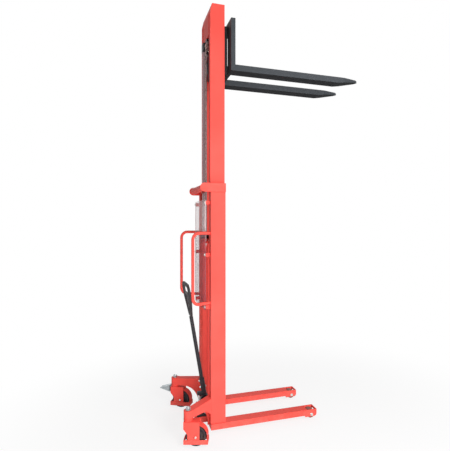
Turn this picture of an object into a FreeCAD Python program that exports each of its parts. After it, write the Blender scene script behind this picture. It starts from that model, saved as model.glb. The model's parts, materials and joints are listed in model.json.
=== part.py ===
import FreeCAD, Part
import Sketcher
import math
import os
import re

# A hand pallet stacker, mast raised. +X runs along the forks, +Y to the operator's left, +Z up.
# The origin is on the floor under the middle of the overall length.

SIZES = {
    # shared clearances
    "running_clearance": 0.05,
    "body_clearance": 0.5,
    "overrun": 5,
    # outer mast: two channels, open sides facing each other
    "mast_width": 450,
    "mast_depth": 106,
    "upright_flange": 50,
    "upright_web": 6,
    "upright_wall": 8,
    "mast_top": 1769,
    # collar round the head of the outer mast
    "lug_height": 62,
    "lug_thickness": 8,
    "tie_gap": 4,
    "tie_radius": 25,
    "tie_wall": 5,
    "pad_height": 40,
    "pad_drop": 8,
    # inner mast
    "inner_gap": 15,
    "inner_forward": 9,
    "inner_flange": 48,
    "inner_web": 6,
    "inner_wall": 8,
    "inner_length": 1740,
    "mast_lap": 435,
    "crown_run": 13,
    "crown_drop": 55,
    "top_beam_height": 206,
    "top_beam_thickness": 14,
    "foot_beam_height": 60,
    "foot_beam_thickness": 12,
    "foot_beam_lift": 2,
    # guide rollers of the inner mast and of the carriage
    "guide_gap": 0.4,
    "guide_width": 28,
    "guide_side_gap": 6,
    "stub_radius": 10,
    "mast_roller_lift": 62,
    # straddle legs and load rollers
    "leg_overhang": 13,
    "leg_width": 86,
    "roller_cover": 5,
    "leg_height": 41,
    "leg_wall": 5,
    "leg_reach": 816,
    "cheek_height": 52,
    "cheek_wall": 6,
    "cheek_overlap": 18,
    "nose_strip": 8,
    "nose_strip_height": 13,
    "nose_round": 20,
    "load_roller_radius": 32,
    "load_roller_width": 62,
    "load_roller_setback": 41,
    "load_roller_chamfer": 4,
    "load_axle_radius": 9,
    "load_axle_head": 4,
    # base beam between the legs
    "base_margin": 6,
    "base_wall": 8,
    # caster arms
    "swivel_setback": 177,
    "swivel_offset": 100,
    "arm_root_inset": 22,
    "arm_width": 60,
    "arm_wall": 6,
    "arm_head_height": 50,
    "race_height": 17.5,
    "arm_rise": 20,
    "arm_root_bottom": 46,
    "arch_radius": 118,
    "arch_centre": 100,
    # casters, each turned aside about its king pin
    "caster_angle_right": 18.1,
    "caster_angle_left": 28,
    "wheel_radius": 68,
    "wheel_width": 50,
    "wheel_chamfer": 5,
    "wheel_hub_radius": 26,
    "wheel_rim_depth": 16,
    "wheel_recess": 8,
    "wheel_trail": 55,
    "caster_axle_radius": 10,
    "caster_head_radius": 8,
    "caster_head_height": 6,
    "yoke_gap": 5,
    "yoke_wall": 5,
    "yoke_back": 27,
    "yoke_front": 80,
    "yoke_knee": 36,
    "crown_gap": 20,
    "crown_thickness": 10,
    "toe_gap": 9,
    "toe_drop": 48,
    "toe_height": 30,
    "toe_wall": 4,
    "fender_gap": 8,
    "fender_wall": 3,
    "race_radius": 28,
    "king_pin_radius": 12,
    "nut_radius": 14,
    "nut_height": 13,
    # foot brake on the left caster
    "pedal_reach": 120,
    "pedal_width": 52,
    "pedal_thickness": 4,
    "shoe_gap": 1,
    "pedal_pivot_drop": 29,
    "pedal_barrel_radius": 7,
    "pedal_pin_radius": 4,
    "pedal_rise": 44,
    "pedal_tread": 80,
    "tread_drop": 22,
    "shoe_drop": 27,
    "shoe_thickness": 8,
    # push handles
    "handle_tube_radius": 11,
    "handle_reach": 135,
    "handle_splay": 60,
    "handle_inset": 21,
    "handle_height": 494,
    "handle_top_drop": 354,
    "handle_bend": 48,
    # mesh guard
    "guard_gap": 2,
    "guard_thickness": 2,
    "guard_inset": 23,
    "guard_height": 784,
    "guard_top_drop": 117,
    "guard_border": 12,
    "guard_wire": 4,
    "guard_bolt_inset": 16,
    "guard_row_inset": 21,
    "bracket_height": 26,
    "bracket_width": 24,
    "bracket_wall": 4,
    "bolt_radius": 4,
    "bolt_head_radius": 8,
    "bolt_head_height": 7,
    # lift cylinder and rod
    "cylinder_radius": 27,
    "cylinder_bore": 20,
    "cylinder_floor": 12,
    "cylinder_top_drop": 400,
    "gland_radius": 30,
    "gland_height": 25,
    "rod_radius": 17.5,
    "piston_length": 25,
    # chains, sheaves and crosshead
    "sheave_gap": 6,
    "chain_width": 13,
    "chain_thickness": 8,
    "sheave_pitch_radius": 35,
    "sheave_rim_radius": 41,
    "sheave_width": 18,
    "sheave_axle_radius": 8,
    "axle_end": 8,
    "crosshead_half_width": 30,
    "crosshead_rear": 17,
    "crosshead_half_height": 30,
    "crosshead_neck": 34,
    "anchor_drop": 35,
    "anchor_thickness": 16,
    "anchor_half_length": 24,
    "anchor_margin": 6.5,
    # fork carriage
    "plate_gap": 5,
    "plate_thickness": 12,
    "plate_lift": 7,
    "plate_top_drop": 17,
    "low_roller_lift": 116,
    "high_roller_drop": 34,
    "fork_gap": 33,
    "bar_thickness": 28,
    "bar_height": 60,
    "clevis_height": 20,
    "clevis_length": 24,
    "clevis_lift": 136,
    # forks
    "fork_offset": 10,
    "fork_width": 105,
    "fork_thickness": 44,
    "shank_thickness": 32,
    "shank_height": 378,
    "shank_top_drop": 113,
    "fork_length": 1025,
    "fork_taper": 190,
    "fork_tip": 14,
    "fork_nose": 140,
    "fork_nose_width": 44,
    "fork_nose_bend": 20,
    # pump
    "pump_gap": 2,
    "pump_rear": 72,
    "pump_length": 88,
    "pump_width": 62,
    "pump_height": 89,
    "pump_floor": 10,
    "ear_wall": 8,
    "ear_radius": 26,
    "plunger_setback": 50.4,
    "plunger_radius": 9,
    "plunger_engaged": 12,
    "cap_radius": 14,
    "cap_height": 8,
    # pump lever
    "pivot_setback": 11.4,
    "pivot_rise": 42,
    "lever_pin_radius": 8,
    "lever_lean": 9.6,
    "knuckle_radius": 24,
    "knuckle_gap": 1,
    "nose_length": 56,
    "nose_underside": 20,
    "nose_height": 22,
    "nose_width": 30,
    "socket_radius": 18,
    "socket_end": 143,
    "bar_radius": 13.5,
    "bar_start": 42,
    "bar_end": 612,
    # loop grip and release trigger
    "grip_radius": 10,
    "grip_half_width": 122,
    "grip_neck_half": 28,
    "grip_neck_length": 143,
    "grip_side_length": 97,
    "grip_neck_bend": 22,
    "grip_shoulder_bend": 60,
    "grip_corner_bend": 38,
    "trigger_pivot_rise": 58,
    "trigger_pin_radius": 4,
    "trigger_ear_half": 8,
    "trigger_ear_wall": 4,
    "trigger_half_thickness": 5,
    "trigger_stem_half": 7.5,
    "trigger_bar_rise": 31,
    "trigger_bar_half": 46,
    "trigger_bar_radius": 8,
}

# Places and sizes that follow from the sizes above
PLACES = {
    "leg_top": "load_roller_radius * 2 + roller_cover",
    "leg_bottom": "leg_top - leg_height",
    "legs_width": "mast_width + leg_overhang * 2",
    "inner_width": "mast_width - (upright_flange + inner_gap) * 2",
    "inner_bottom": "mast_top - mast_lap",
    "inner_top": "inner_bottom + inner_length",
    "inner_front": "inner_forward + mast_depth",
    "tie_setback": "crosshead_rear + tie_gap + tie_radius",
    "base_rear": "pump_rear + base_margin",
    "swivel_lateral": "mast_width / 2 + swivel_offset",
    "arm_root_lateral": "mast_width / 2 - arm_root_inset",
    "crown_top": "wheel_radius * 2 + crown_gap + crown_thickness",
    "arm_head_bottom": "crown_top + race_height + body_clearance",
    "arm_head_top": "arm_head_bottom + arm_head_height",
    "arm_root_top": "arm_head_top + arm_rise",
    "toe_length": "(wheel_radius + toe_gap + toe_wall) * 2",
    "toe_low": "wheel_radius - toe_drop",
    "toe_high": "toe_low + toe_height",
    "pedal_back": "wheel_radius + shoe_gap - wheel_trail",
    "handle_lateral": "mast_width / 2 - handle_inset",
    "handle_high": "mast_top - handle_top_drop",
    "handle_low": "handle_high - handle_height",
    "guard_standoff": "gland_radius + guard_gap",
    "guard_half_width": "mast_width / 2 - guard_inset",
    "guard_high": "mast_top - guard_top_drop",
    "guard_low": "guard_high - guard_height",
    "cylinder_top": "mast_top - cylinder_top_drop",
    "chain_lateral": "crosshead_half_width + sheave_gap + sheave_width / 2",
    "neck_top": "inner_top - top_beam_height",
    "sheave_height": "neck_top - crosshead_neck - crosshead_half_height",
    "anchor_height": "cylinder_top - anchor_drop",
    "anchor_half_width": "chain_lateral + chain_width / 2 + anchor_margin",
    "foot_rear": "gland_radius + body_clearance",
    "plate_rear": "foot_rear + foot_beam_thickness + body_clearance",
    "plate_lateral": "inner_width / 2 - inner_flange - plate_gap - plate_thickness",
    "shank_rear": "inner_front + fork_gap",
    "shank_front": "shank_rear + shank_thickness",
    "shank_top": "inner_top - shank_top_drop",
    "fork_bottom": "shank_top - shank_height",
    "forks_width": "(plate_lateral + plate_thickness + fork_offset + fork_width) * 2",
    "plate_bottom": "fork_bottom + plate_lift",
    "plate_top": "shank_top - plate_top_drop",
    "carriage_roller_low": "plate_bottom + low_roller_lift",
    "carriage_roller_high": "plate_top - high_roller_drop",
    "clevis_top": "plate_bottom + clevis_lift",
    "pump_lateral": "cylinder_radius + pump_gap + pump_width / 2",
    "pump_top": "leg_top + pump_height",
    "pivot_height": "pump_top + pivot_rise",
    "grip_shoulder": "bar_end + grip_neck_length",
    "grip_top": "grip_shoulder + grip_side_length",
    "trigger_pivot": "bar_end + trigger_pivot_rise",
    "trigger_bar_height": "grip_shoulder + trigger_bar_rise",
    "front_end": "shank_front + fork_length",
    "pedal_swing": "pedal_reach * cos(caster_angle_left) + pedal_width / 2 * sin(caster_angle_left)",
    "rear_end": "swivel_setback + pedal_swing",
    "mast_rear": "(rear_end - front_end) / 2",
}

# Counts and shares, which don't change with the size of the object
GUARD_COLUMNS = 9
GUARD_ROWS = 30
GUARD_BOLT_ROWS = 3
FORK_NOSE_SHARE = 0.5

RIGHT = ("right", -1)
LEFT = ("left", 1)
SIDES = (RIGHT, LEFT)

doc = FreeCAD.newDocument("hand_pallet_stacker")
sheet = doc.addObject("Spreadsheet::Sheet", "dims")
for row, (alias, value) in enumerate(SIZES.items(), start=1):
    sheet.set(f"A{row}", alias)
    sheet.set(f"B{row}", str(value))
    sheet.setAlias(f"B{row}", alias)
doc.recompute()

WORD = re.compile(r"[a-z][a-z_]*")
TURN = {
    "X": FreeCAD.Rotation(FreeCAD.Vector(0, 1, 0), 90),
    "Y": FreeCAD.Rotation(FreeCAD.Vector(1, 0, 0), -90),
    "Z": FreeCAD.Rotation(),
}
gauge = doc.addObject("App::FeaturePython", "gauge")
gauge.addProperty("App::PropertyFloat", "Value")
nodes = []


def cell(match):
    """One word of an expression: a size's cell, a place worked out from sizes, or a function."""
    word = match.group()
    if word in SIZES:
        return f"dims.{word}"
    return f"({formula(PLACES[word])})" if word in PLACES else word


def formula(text):
    """The expression with each name in it turned into references to cells."""
    return WORD.sub(cell, text)


def size(name):
    """One size or place as a number, worked out from the sheet."""
    gauge.setExpression("Value", formula(name))
    gauge.recompute()
    return gauge.Value


def bind(thing, **formulas):
    """Bind properties of an object to expressions on the sheet."""
    for name, text in formulas.items():
        thing.setExpression(name, formula(text))
    return thing


def place(thing, x, y, z):
    """Bind the place of an object, in the frame of the whole stacker."""
    for letter, text in zip("xyz", (x, y, z)):
        thing.setExpression(f"Placement.Base.{letter}", formula(text))
    return thing


def node(label, thing):
    """Mark an object as a finished sub-part."""
    thing.Label = label
    nodes.append(thing)
    return thing


def block(x, y, z):
    """A box between two places on each axis, each given as (low, high)."""
    box = doc.addObject("Part::Box", "block")
    bind(box, Length=f"({x[1]}) - ({x[0]})", Width=f"({y[1]}) - ({y[0]})", Height=f"({z[1]}) - ({z[0]})")
    return place(box, x[0], y[0], z[0])


def rod(axis, x, y, z, radius, length):
    """A cylinder that starts at a place and runs along an axis."""
    bar = doc.addObject("Part::Cylinder", "rod")
    bind(bar, Radius=radius, Height=length)
    bar.Placement = FreeCAD.Placement(FreeCAD.Vector(), TURN[axis])
    return place(bar, x, y, z)


def fuse(*pieces):
    """One solid made of several that touch or overlap."""
    joined = doc.addObject("Part::MultiFuse", "fuse")
    joined.Shapes = list(pieces)
    joined.Refine = True
    return joined


def cut(base, *tools):
    """A solid with others taken out of it."""
    for tool in tools:
        result = doc.addObject("Part::Cut", "cut")
        result.Base = base
        result.Tool = tool
        result.Refine = True
        base = result
    return base


def common(base, tool):
    """What two solids share."""
    result = doc.addObject("Part::Common", "common")
    result.Base = base
    result.Tool = tool
    return result


def group(*pieces):
    """Separate solids kept in one sub-part."""
    bundle = doc.addObject("Part::Compound", "group")
    bundle.Links = list(pieces)
    return bundle


def outline(body, plane, points):
    """A closed sketch on one of a body's own planes, each corner bound to its place."""
    sketch = body.newObject("Sketcher::SketchObject", "outline")
    support = next(f for f in body.Origin.OriginFeatures if f.Role == plane)
    sketch.AttachmentSupport = [(support, "")]
    sketch.MapMode = "FlatFace"
    count = len(points)
    turns = [math.tau * k / count for k in range(count)]
    starts = [FreeCAD.Vector(math.cos(a), math.sin(a), 0) for a in turns]
    for k in range(count):
        sketch.addGeometry(Part.LineSegment(starts[k], starts[(k + 1) % count]))
    for k in range(count):
        sketch.addConstraint(Sketcher.Constraint("Coincident", k, 2, (k + 1) % count, 1))
    for k, place_of_corner in enumerate(points):
        for kind, axis, text in zip(("DistanceX", "DistanceY"), (-2, -1), place_of_corner):
            if str(text) == "0":
                sketch.addConstraint(Sketcher.Constraint("PointOnObject", k, 1, axis))
                continue
            index = sketch.addConstraint(Sketcher.Constraint(kind, -1, 1, k, 1, 1))
            sketch.setExpression(f"Constraints[{index}]", formula(text))
    return sketch


def padded(plane, points, depth):
    """A body padded from an outline. From XZ it grows towards -Y, from XY towards +Z."""
    body = doc.addObject("PartDesign::Body", "body")
    pad = body.newObject("PartDesign::Pad", "pad")
    pad.Profile = outline(body, plane, points)
    bind(pad, Length=depth)
    body.Tip = pad
    return body


def pocket(body, plane, points, reverse=False):
    """Cut an outline right through a body."""
    before = solid_volume(body)
    hole = body.newObject("PartDesign::Pocket", "pocket")
    hole.Profile = outline(body, plane, points)
    hole.Type = "ThroughAll"
    hole.Reversed = reverse
    body.Tip = hole
    if solid_volume(body) >= before:
        raise RuntimeError(f"{body.Label}: the pocket cut nothing")
    return body


def turned(points):
    """A body of revolution about its own Y axis, from (radius, place along Y) corners."""
    body = doc.addObject("PartDesign::Body", "turned")
    spin = body.newObject("PartDesign::Revolution", "spin")
    sketch = outline(body, "XY_Plane", points)
    spin.Profile = sketch
    spin.ReferenceAxis = (sketch, ["V_Axis"])
    spin.Angle = 360
    body.Tip = spin
    return body


def solid_volume(thing):
    """The volume of an object after a recompute."""
    doc.recompute()
    return thing.Shape.Volume


def spin_about(thing, axis, angle):
    """Turn an object about an axis by a bound angle, in degrees."""
    thing.Placement = FreeCAD.Placement(FreeCAD.Vector(), FreeCAD.Rotation(FreeCAD.Vector(*axis), 1))
    thing.setExpression("Placement.Rotation.Angle", formula(angle))
    return thing


def bent_wire(points, bends, closed):
    """A path of straight runs joined by tangent arcs of the given bend radii."""
    count = len(points)
    corners = range(count) if closed else range(1, count - 1)
    arcs = {}
    for k in corners:
        here = points[k]
        back = (points[k - 1] - here).normalize()
        ahead = (points[(k + 1) % count] - here).normalize()
        half = back.getAngle(ahead) / 2
        middle = (back + ahead).normalize()
        centre = here + middle * (bends[k] / math.sin(half))
        tangent = bends[k] / math.tan(half)
        arcs[k] = (here + back * tangent, centre - middle * bends[k], here + ahead * tangent)
    edges = []
    for k in range(count if closed else count - 1):
        after = (k + 1) % count
        begin = arcs[k][2] if k in arcs else points[k]
        end = arcs[after][0] if after in arcs else points[after]
        edges.append(Part.LineSegment(begin, end).toShape())
        if after in arcs:
            edges.append(Part.Arc(*arcs[after]).toShape())
    return Part.Wire(edges)


def bent_tube(points, bends, radius, closed=False):
    """A round bar along a bent path."""
    path = bent_wire(points, bends, closed)
    start = path.Edges[0]
    begin = start.valueAt(start.FirstParameter)
    section = Part.Wire(Part.makeCircle(radius, begin, start.tangentAt(start.FirstParameter)))
    return path.makePipeShell([section], True, True)


def feature(shape):
    """An object that holds a ready-made shape."""
    holder = doc.addObject("Part::Feature", "shape")
    holder.Shape = shape
    return holder


def fwd(text):
    """A place on X in the stacker's frame, from a distance ahead of the outer mast's rear face."""
    return f"mast_rear + ({text})"


def span(sign, low, high):
    """A (low, high) pair on Y for distances from the middle plane, on one side."""
    return (low, high) if sign > 0 else (f"-({high})", f"-({low})")


def channel(sign, rear, outer, flange, web, wall):
    """Corners of a channel section whose web is on the outer side of the mast."""
    y_outer = f"{sign} * ({outer})"
    y_web = f"{sign} * ({outer} - {web})"
    y_tip = f"{sign} * ({outer} - {flange})"
    front = f"{rear} + mast_depth"
    return [
        (rear, y_outer),
        (front, y_outer),
        (front, y_tip),
        (f"{front} - {wall}", y_tip),
        (f"{front} - {wall}", y_web),
        (f"{rear} + {wall}", y_web),
        (f"{rear} + {wall}", y_tip),
        (rear, y_tip),
    ]


def make_outer_mast():
    """Outer uprights, the collar at their head and the guide pads inside it."""
    lug_low = "mast_top - lug_height"
    lug_mid = "mast_top - lug_height / 2"
    collar = []
    pads = []
    for side, sign in SIDES:
        upright = padded(
            "XY_Plane",
            channel(sign, "0", "mast_width / 2", "upright_flange", "upright_web", "upright_wall"),
            "mast_top - leg_top",
        )
        place(upright, "mast_rear", "0", "leg_top")
        node(f"outer_upright_{side}", upright)
        lug_y = span(sign, "mast_width / 2", "mast_width / 2 + lug_thickness")
        collar.append(block((fwd("-tie_setback"), fwd("mast_depth")), lug_y, (lug_low, "mast_top")))
        collar.append(rod("Y", fwd("-tie_setback"), lug_y[0], lug_mid, "lug_height / 2", "lug_thickness"))
        pad_y = span(sign, "inner_width / 2 + body_clearance", "mast_width / 2 - upright_web")
        pads.append(
            block(
                (fwd("upright_wall"), fwd("mast_depth - upright_wall")),
                pad_y,
                ("mast_top - pad_drop - pad_height", "mast_top - pad_drop"),
            )
        )
    tie = rod("Y", fwd("-tie_setback"), "-mast_width / 2", lug_mid, "tie_radius", "mast_width")
    hollow = rod("Y", fwd("-tie_setback"), "-mast_width / 2", lug_mid, "tie_radius - tie_wall", "mast_width")
    node("mast_collar", fuse(*collar, cut(tie, hollow)))
    node("guide_pads", group(*pads))


def make_inner_mast():
    """Inner uprights with their cross beams, and the stub axles of the guide rollers."""
    tip = "inner_width / 2 - inner_flange"
    web = "inner_width / 2 - inner_web"
    stubs = []
    for side, sign in SIDES:
        upright = padded(
            "XY_Plane",
            channel(sign, "inner_forward", "inner_width / 2", "inner_flange", "inner_web", "inner_wall"),
            "inner_length",
        )
        crown = [
            ("inner_forward - overrun", "inner_length - crown_drop"),
            ("inner_forward", "inner_length - crown_drop"),
            ("inner_forward + crown_run", "inner_length"),
            ("inner_forward + crown_run", "inner_length + overrun"),
            ("inner_forward - overrun", "inner_length + overrun"),
        ]
        pocket(upright, "XZ_Plane", crown, reverse=sign < 0)
        place(upright, "mast_rear", "0", "inner_bottom")
        flange_top = block(
            (fwd("inner_forward - overrun"), fwd("inner_forward + top_beam_thickness + crown_run")),
            span(sign, "0", web),
            ("inner_top - crown_drop", "inner_top + overrun"),
        )
        node(f"inner_upright_{side}", cut(upright, flange_top))
        roller_z = "inner_bottom + mast_roller_lift"
        roller_inner = "mast_width / 2 - upright_web - guide_side_gap - guide_width"
        stub_y = span(sign, "inner_width / 2", f"{roller_inner} + guide_width")
        stub = rod(
            "Y", fwd("mast_depth / 2"), stub_y[0], roller_z, "stub_radius", f"({stub_y[1]}) - ({stub_y[0]})"
        )
        stubs.append(stub)
        roller = guide_roller()
        roller_y = span(sign, roller_inner, f"{roller_inner} + guide_width")
        place(roller, fwd("mast_depth / 2"), roller_y[0], roller_z)
        node(f"mast_roller_{side}", roller)
    node("mast_roller_stubs", group(*stubs))
    beam = block(
        (fwd("inner_forward"), fwd("inner_forward + top_beam_thickness")),
        (f"-({tip})", tip),
        ("inner_top - top_beam_height", "inner_top - crown_drop"),
    )
    sloped = padded(
        "XZ_Plane",
        [
            ("0", "-crown_drop"),
            ("top_beam_thickness", "-crown_drop"),
            ("top_beam_thickness + crown_run", "0"),
            ("crown_run", "0"),
        ],
        f"({web}) * 2",
    )
    place(sloped, fwd("inner_forward"), web, "inner_top")
    node("top_beam", fuse(beam, sloped))
    foot_low = "inner_bottom + foot_beam_lift"
    foot = block(
        (fwd("foot_rear"), fwd("foot_rear + foot_beam_thickness")),
        (f"-({web})", web),
        (foot_low, f"{foot_low} + foot_beam_height"),
    )
    node("foot_beam", foot)


def guide_roller():
    """A guide roller that fits between the flanges of either mast, from its inner side face."""
    radius = "mast_depth / 2 - upright_wall - guide_gap"
    bore = "stub_radius + running_clearance"
    edge = "guide_width / 6"
    return turned(
        [
            (bore, "0"),
            (f"{radius} - {edge}", "0"),
            (radius, edge),
            (radius, f"guide_width - {edge}"),
            (f"{radius} - {edge}", "guide_width"),
            (bore, "guide_width"),
        ]
    )


def make_legs():
    """Straddle legs of box section with roller cheeks, load rollers and their axles."""
    axles = []
    cheek_low = "leg_top - cheek_height"
    bend_x, bend_z = "leg_reach - nose_round", f"{cheek_low} + nose_round"
    roller_x = "leg_reach - load_roller_setback"
    tube_end = f"{roller_x} - load_roller_radius - body_clearance * 4"
    for side, sign in SIDES:
        outer = "legs_width / 2"
        inner = "legs_width / 2 - leg_width"
        tube = block((fwd("0"), fwd(tube_end)), span(sign, inner, outer), ("leg_bottom", "leg_top"))
        bore = block(
            (fwd("leg_wall"), fwd(f"{tube_end} + overrun")),
            span(sign, f"{inner} + leg_wall", f"{outer} - leg_wall"),
            ("leg_bottom + leg_wall", "leg_top - leg_wall"),
        )
        pieces = [cut(tube, bore)]
        for low, high in ((inner, f"{inner} + cheek_wall"), (f"{outer} - cheek_wall", outer)):
            y = span(sign, low, high)
            cheek_rear = f"{tube_end} - cheek_overlap"
            pieces.append(block((fwd(cheek_rear), fwd(bend_x)), y, (cheek_low, "leg_top")))
            pieces.append(block((fwd(cheek_rear), fwd("leg_reach")), y, (bend_z, "leg_top")))
            pieces.append(rod("Y", fwd(bend_x), y[0], bend_z, "nose_round", "cheek_wall"))
        strip_z = ("leg_top - nose_strip_height", "leg_top")
        strip_x = (fwd("leg_reach - nose_strip"), fwd("leg_reach"))
        pieces.append(block(strip_x, span(sign, f"{inner} + cheek_wall", f"{outer} - cheek_wall"), strip_z))
        y = span(sign, inner, outer)
        hole = rod("Y", fwd(roller_x), y[0], "load_roller_radius", "load_axle_radius", "leg_width")
        node(f"leg_{side}", cut(fuse(*pieces), hole))
        y = span(sign, f"{inner} - load_axle_head", f"{outer} + load_axle_head")
        length = "leg_width + load_axle_head * 2"
        axles.append(rod("Y", fwd(roller_x), y[0], "load_roller_radius", "load_axle_radius", length))
        roller = load_roller()
        middle = f"{sign} * (legs_width / 2 - leg_width / 2) - load_roller_width / 2"
        place(roller, fwd(roller_x), middle, "load_roller_radius")
        node(f"load_roller_{side}", roller)
    node("load_roller_axles", group(*axles))


def load_roller():
    """A load roller with chamfered edges, from its right-hand side face."""
    bore = "load_axle_radius + running_clearance"
    rim = "load_roller_radius - load_roller_chamfer"
    return turned(
        [
            (bore, "0"),
            (rim, "0"),
            ("load_roller_radius", "load_roller_chamfer"),
            ("load_roller_radius", "load_roller_width - load_roller_chamfer"),
            (rim, "load_roller_width"),
            (bore, "load_roller_width"),
        ]
    )


def make_base():
    """The base beam between the legs, with a shelf behind it for the cylinder and the pump, open below."""
    half = "legs_width / 2 - leg_width"
    shelf = ("-pump_lateral - pump_width / 2 - base_margin", "cylinder_radius + base_margin")
    z = ("leg_bottom", "leg_top")
    beam = block((fwd("0"), fwd("mast_depth")), (f"-({half})", half), z)
    ledge = block((fwd("-base_rear"), fwd("base_wall")), shelf, z)
    z = ("leg_bottom - overrun", "leg_top - base_wall")
    beam_hollow = block(
        (fwd("base_wall"), fwd("mast_depth - base_wall")), (f"base_wall - ({half})", f"{half} - base_wall"), z
    )
    ledge_hollow = block(
        (fwd("base_wall - base_rear"), fwd("0")), (f"{shelf[0]} + base_wall", f"{shelf[1]} - base_wall"), z
    )
    node("base_beam", cut(fuse(beam, ledge), beam_hollow, ledge_hollow))


def make_caster_arms():
    """Arms from the foot of the mast to the casters: arched, open below, with a king pin boss."""
    angle = "atan((swivel_lateral - arm_root_lateral) / swivel_setback)"
    length = "sqrt((swivel_lateral - arm_root_lateral) ^ 2 + swivel_setback ^ 2)"
    far = f"({length} + arm_width)"
    rise = "(arm_root_top - arm_head_top)"
    for side, sign in SIDES:
        top_line = f"arm_head_top + {rise} * {far} / {length}"
        shell = padded(
            "XZ_Plane",
            [
                ("0", "arm_root_bottom"),
                (far, "arm_root_bottom"),
                (far, top_line),
                ("arm_width / 2", "arm_head_top"),
                ("0", "arm_head_top"),
            ],
            "arm_width",
        )
        place(shell, "0", "arm_width / 2", "0")
        core = padded(
            "XZ_Plane",
            [
                ("arm_width / 2", "arm_root_bottom - overrun"),
                (f"{far} + overrun", "arm_root_bottom - overrun"),
                (f"{far} + overrun", f"{top_line} - arm_wall"),
                ("arm_width / 2", "arm_head_top - arm_wall"),
            ],
            "arm_width - arm_wall * 2",
        )
        place(core, "0", "arm_width / 2 - arm_wall", "0")
        arch = rod(
            "Y",
            "arch_centre",
            "-arm_width",
            "arm_head_bottom - arch_radius",
            "arch_radius",
            "arm_width * 2",
        )
        under = block(
            ("-arm_width", "arch_centre"), ("-arm_width", "arm_width"), ("0", "arm_head_bottom")
        )
        boss = rod("Z", "0", "0", "arm_head_bottom", "arm_width / 2", "arm_head_top - arm_head_bottom")
        bore = rod(
            "Z",
            "0",
            "0",
            "arm_head_bottom - overrun",
            "king_pin_radius + running_clearance",
            "arm_head_top - arm_head_bottom + overrun * 2",
        )
        arm = cut(fuse(cut(shell, core, arch, under), boss), bore)
        spin_about(arm, (0, 0, -sign), angle)
        place(arm, fwd("-swivel_setback"), f"{sign} * swivel_lateral", "0")
        ahead = block(
            (fwd("0"), fwd("swivel_setback")),
            span(sign, "0", "swivel_lateral"),
            ("0", "arm_root_top * 2"),
        )
        node(f"caster_arm_{side}", cut(arm, ahead))


def turn_caster(thing, side, sign, x="0", y="0", z="0"):
    """Turn a piece aside with its caster and put it there, from its place in a straight caster."""
    angle = f"caster_angle_{side}"
    spin_about(thing, (0, 0, -1), angle)
    ahead = f"({x}) * cos({angle}) + ({y}) * sin({angle})"
    across = f"({y}) * cos({angle}) - ({x}) * sin({angle})"
    return place(thing, fwd(f"{ahead} - swivel_setback"), f"{sign} * swivel_lateral + {across}", z)


def make_casters():
    """Swivel casters that trail forwards: yoke with toe guard and fender, wheel and axle."""
    inside = "wheel_width / 2 + yoke_gap"
    outside = f"{inside} + yoke_wall"
    flank = f"{outside} + toe_wall"
    crown_low = "crown_top - crown_thickness"
    toe_half = "toe_length / 2"
    pin = "arm_head_top - crown_top + nut_height"
    for side, sign in SIDES:
        pieces = [block(("-yoke_back", "yoke_front"), (f"-({outside})", outside), (crown_low, "crown_top"))]
        for face in (outside, f"-({inside})"):
            cheek = padded(
                "XZ_Plane",
                [
                    ("-yoke_back", crown_low),
                    ("-yoke_back", f"{crown_low} - yoke_knee"),
                    ("0", f"{crown_low} - yoke_knee * 2"),
                    ("0", "toe_low"),
                    ("yoke_front", "toe_low"),
                    ("yoke_front", crown_low),
                ],
                "yoke_wall",
            )
            pieces.append(place(cheek, "0", face, "0"))
        ring = block(
            (f"wheel_trail - {toe_half}", f"wheel_trail + {toe_half}"),
            (f"-({flank})", flank),
            ("toe_low", "toe_high"),
        )
        ring_hole = block(
            (f"wheel_trail - {toe_half} + toe_wall", f"wheel_trail + {toe_half} - toe_wall"),
            (f"-({outside})", outside),
            ("toe_low - overrun", "toe_high + overrun"),
        )
        pieces.append(cut(ring, ring_hole))
        pieces.append(fender(inside))
        pieces.append(rod("Z", "0", "0", "crown_top", "race_radius", "race_height"))
        pieces.append(rod("Z", "0", "0", "crown_top", "king_pin_radius", pin))
        pieces.append(rod("Z", "0", "0", "arm_head_top + body_clearance", "nut_radius", "nut_height"))
        if side == "left":
            pieces.append(brake_pin(outside))
        axle_hole = rod(
            "Y",
            "wheel_trail",
            f"-({flank}) - overrun",
            "wheel_radius",
            "caster_axle_radius",
            f"({flank}) * 2 + overrun * 2",
        )
        node(f"caster_yoke_{side}", turn_caster(cut(fuse(*pieces), axle_hole), side, sign))
        shaft = rod("Y", "wheel_trail", f"-({flank})", "wheel_radius", "caster_axle_radius", f"({flank}) * 2")
        heads = [
            rod("Y", "wheel_trail", start, "wheel_radius", "caster_head_radius", "caster_head_height")
            for start in (flank, f"-({flank}) - caster_head_height")
        ]
        node(f"caster_axle_{side}", turn_caster(fuse(shaft, *heads), side, sign))
        wheel = turn_caster(caster_wheel(), side, sign, "wheel_trail", "-wheel_width / 2", "wheel_radius")
        node(f"caster_wheel_{side}", wheel)


def fender(inside):
    """A quarter of a ring ahead of the wheel, between the yoke's cheeks and the toe guard."""
    radius = "wheel_radius + fender_gap"
    width = f"({inside}) * 2"
    start = f"-({inside})"
    outer = rod("Y", "wheel_trail", start, "wheel_radius", f"{radius} + fender_wall", width)
    inner = rod("Y", "wheel_trail", start, "wheel_radius", radius, width)
    quarter = block(
        ("wheel_trail", f"wheel_trail + {radius} + fender_wall + overrun"),
        (start, inside),
        ("toe_high - overrun", "crown_top"),
    )
    return common(cut(outer, inner), quarter)


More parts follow.
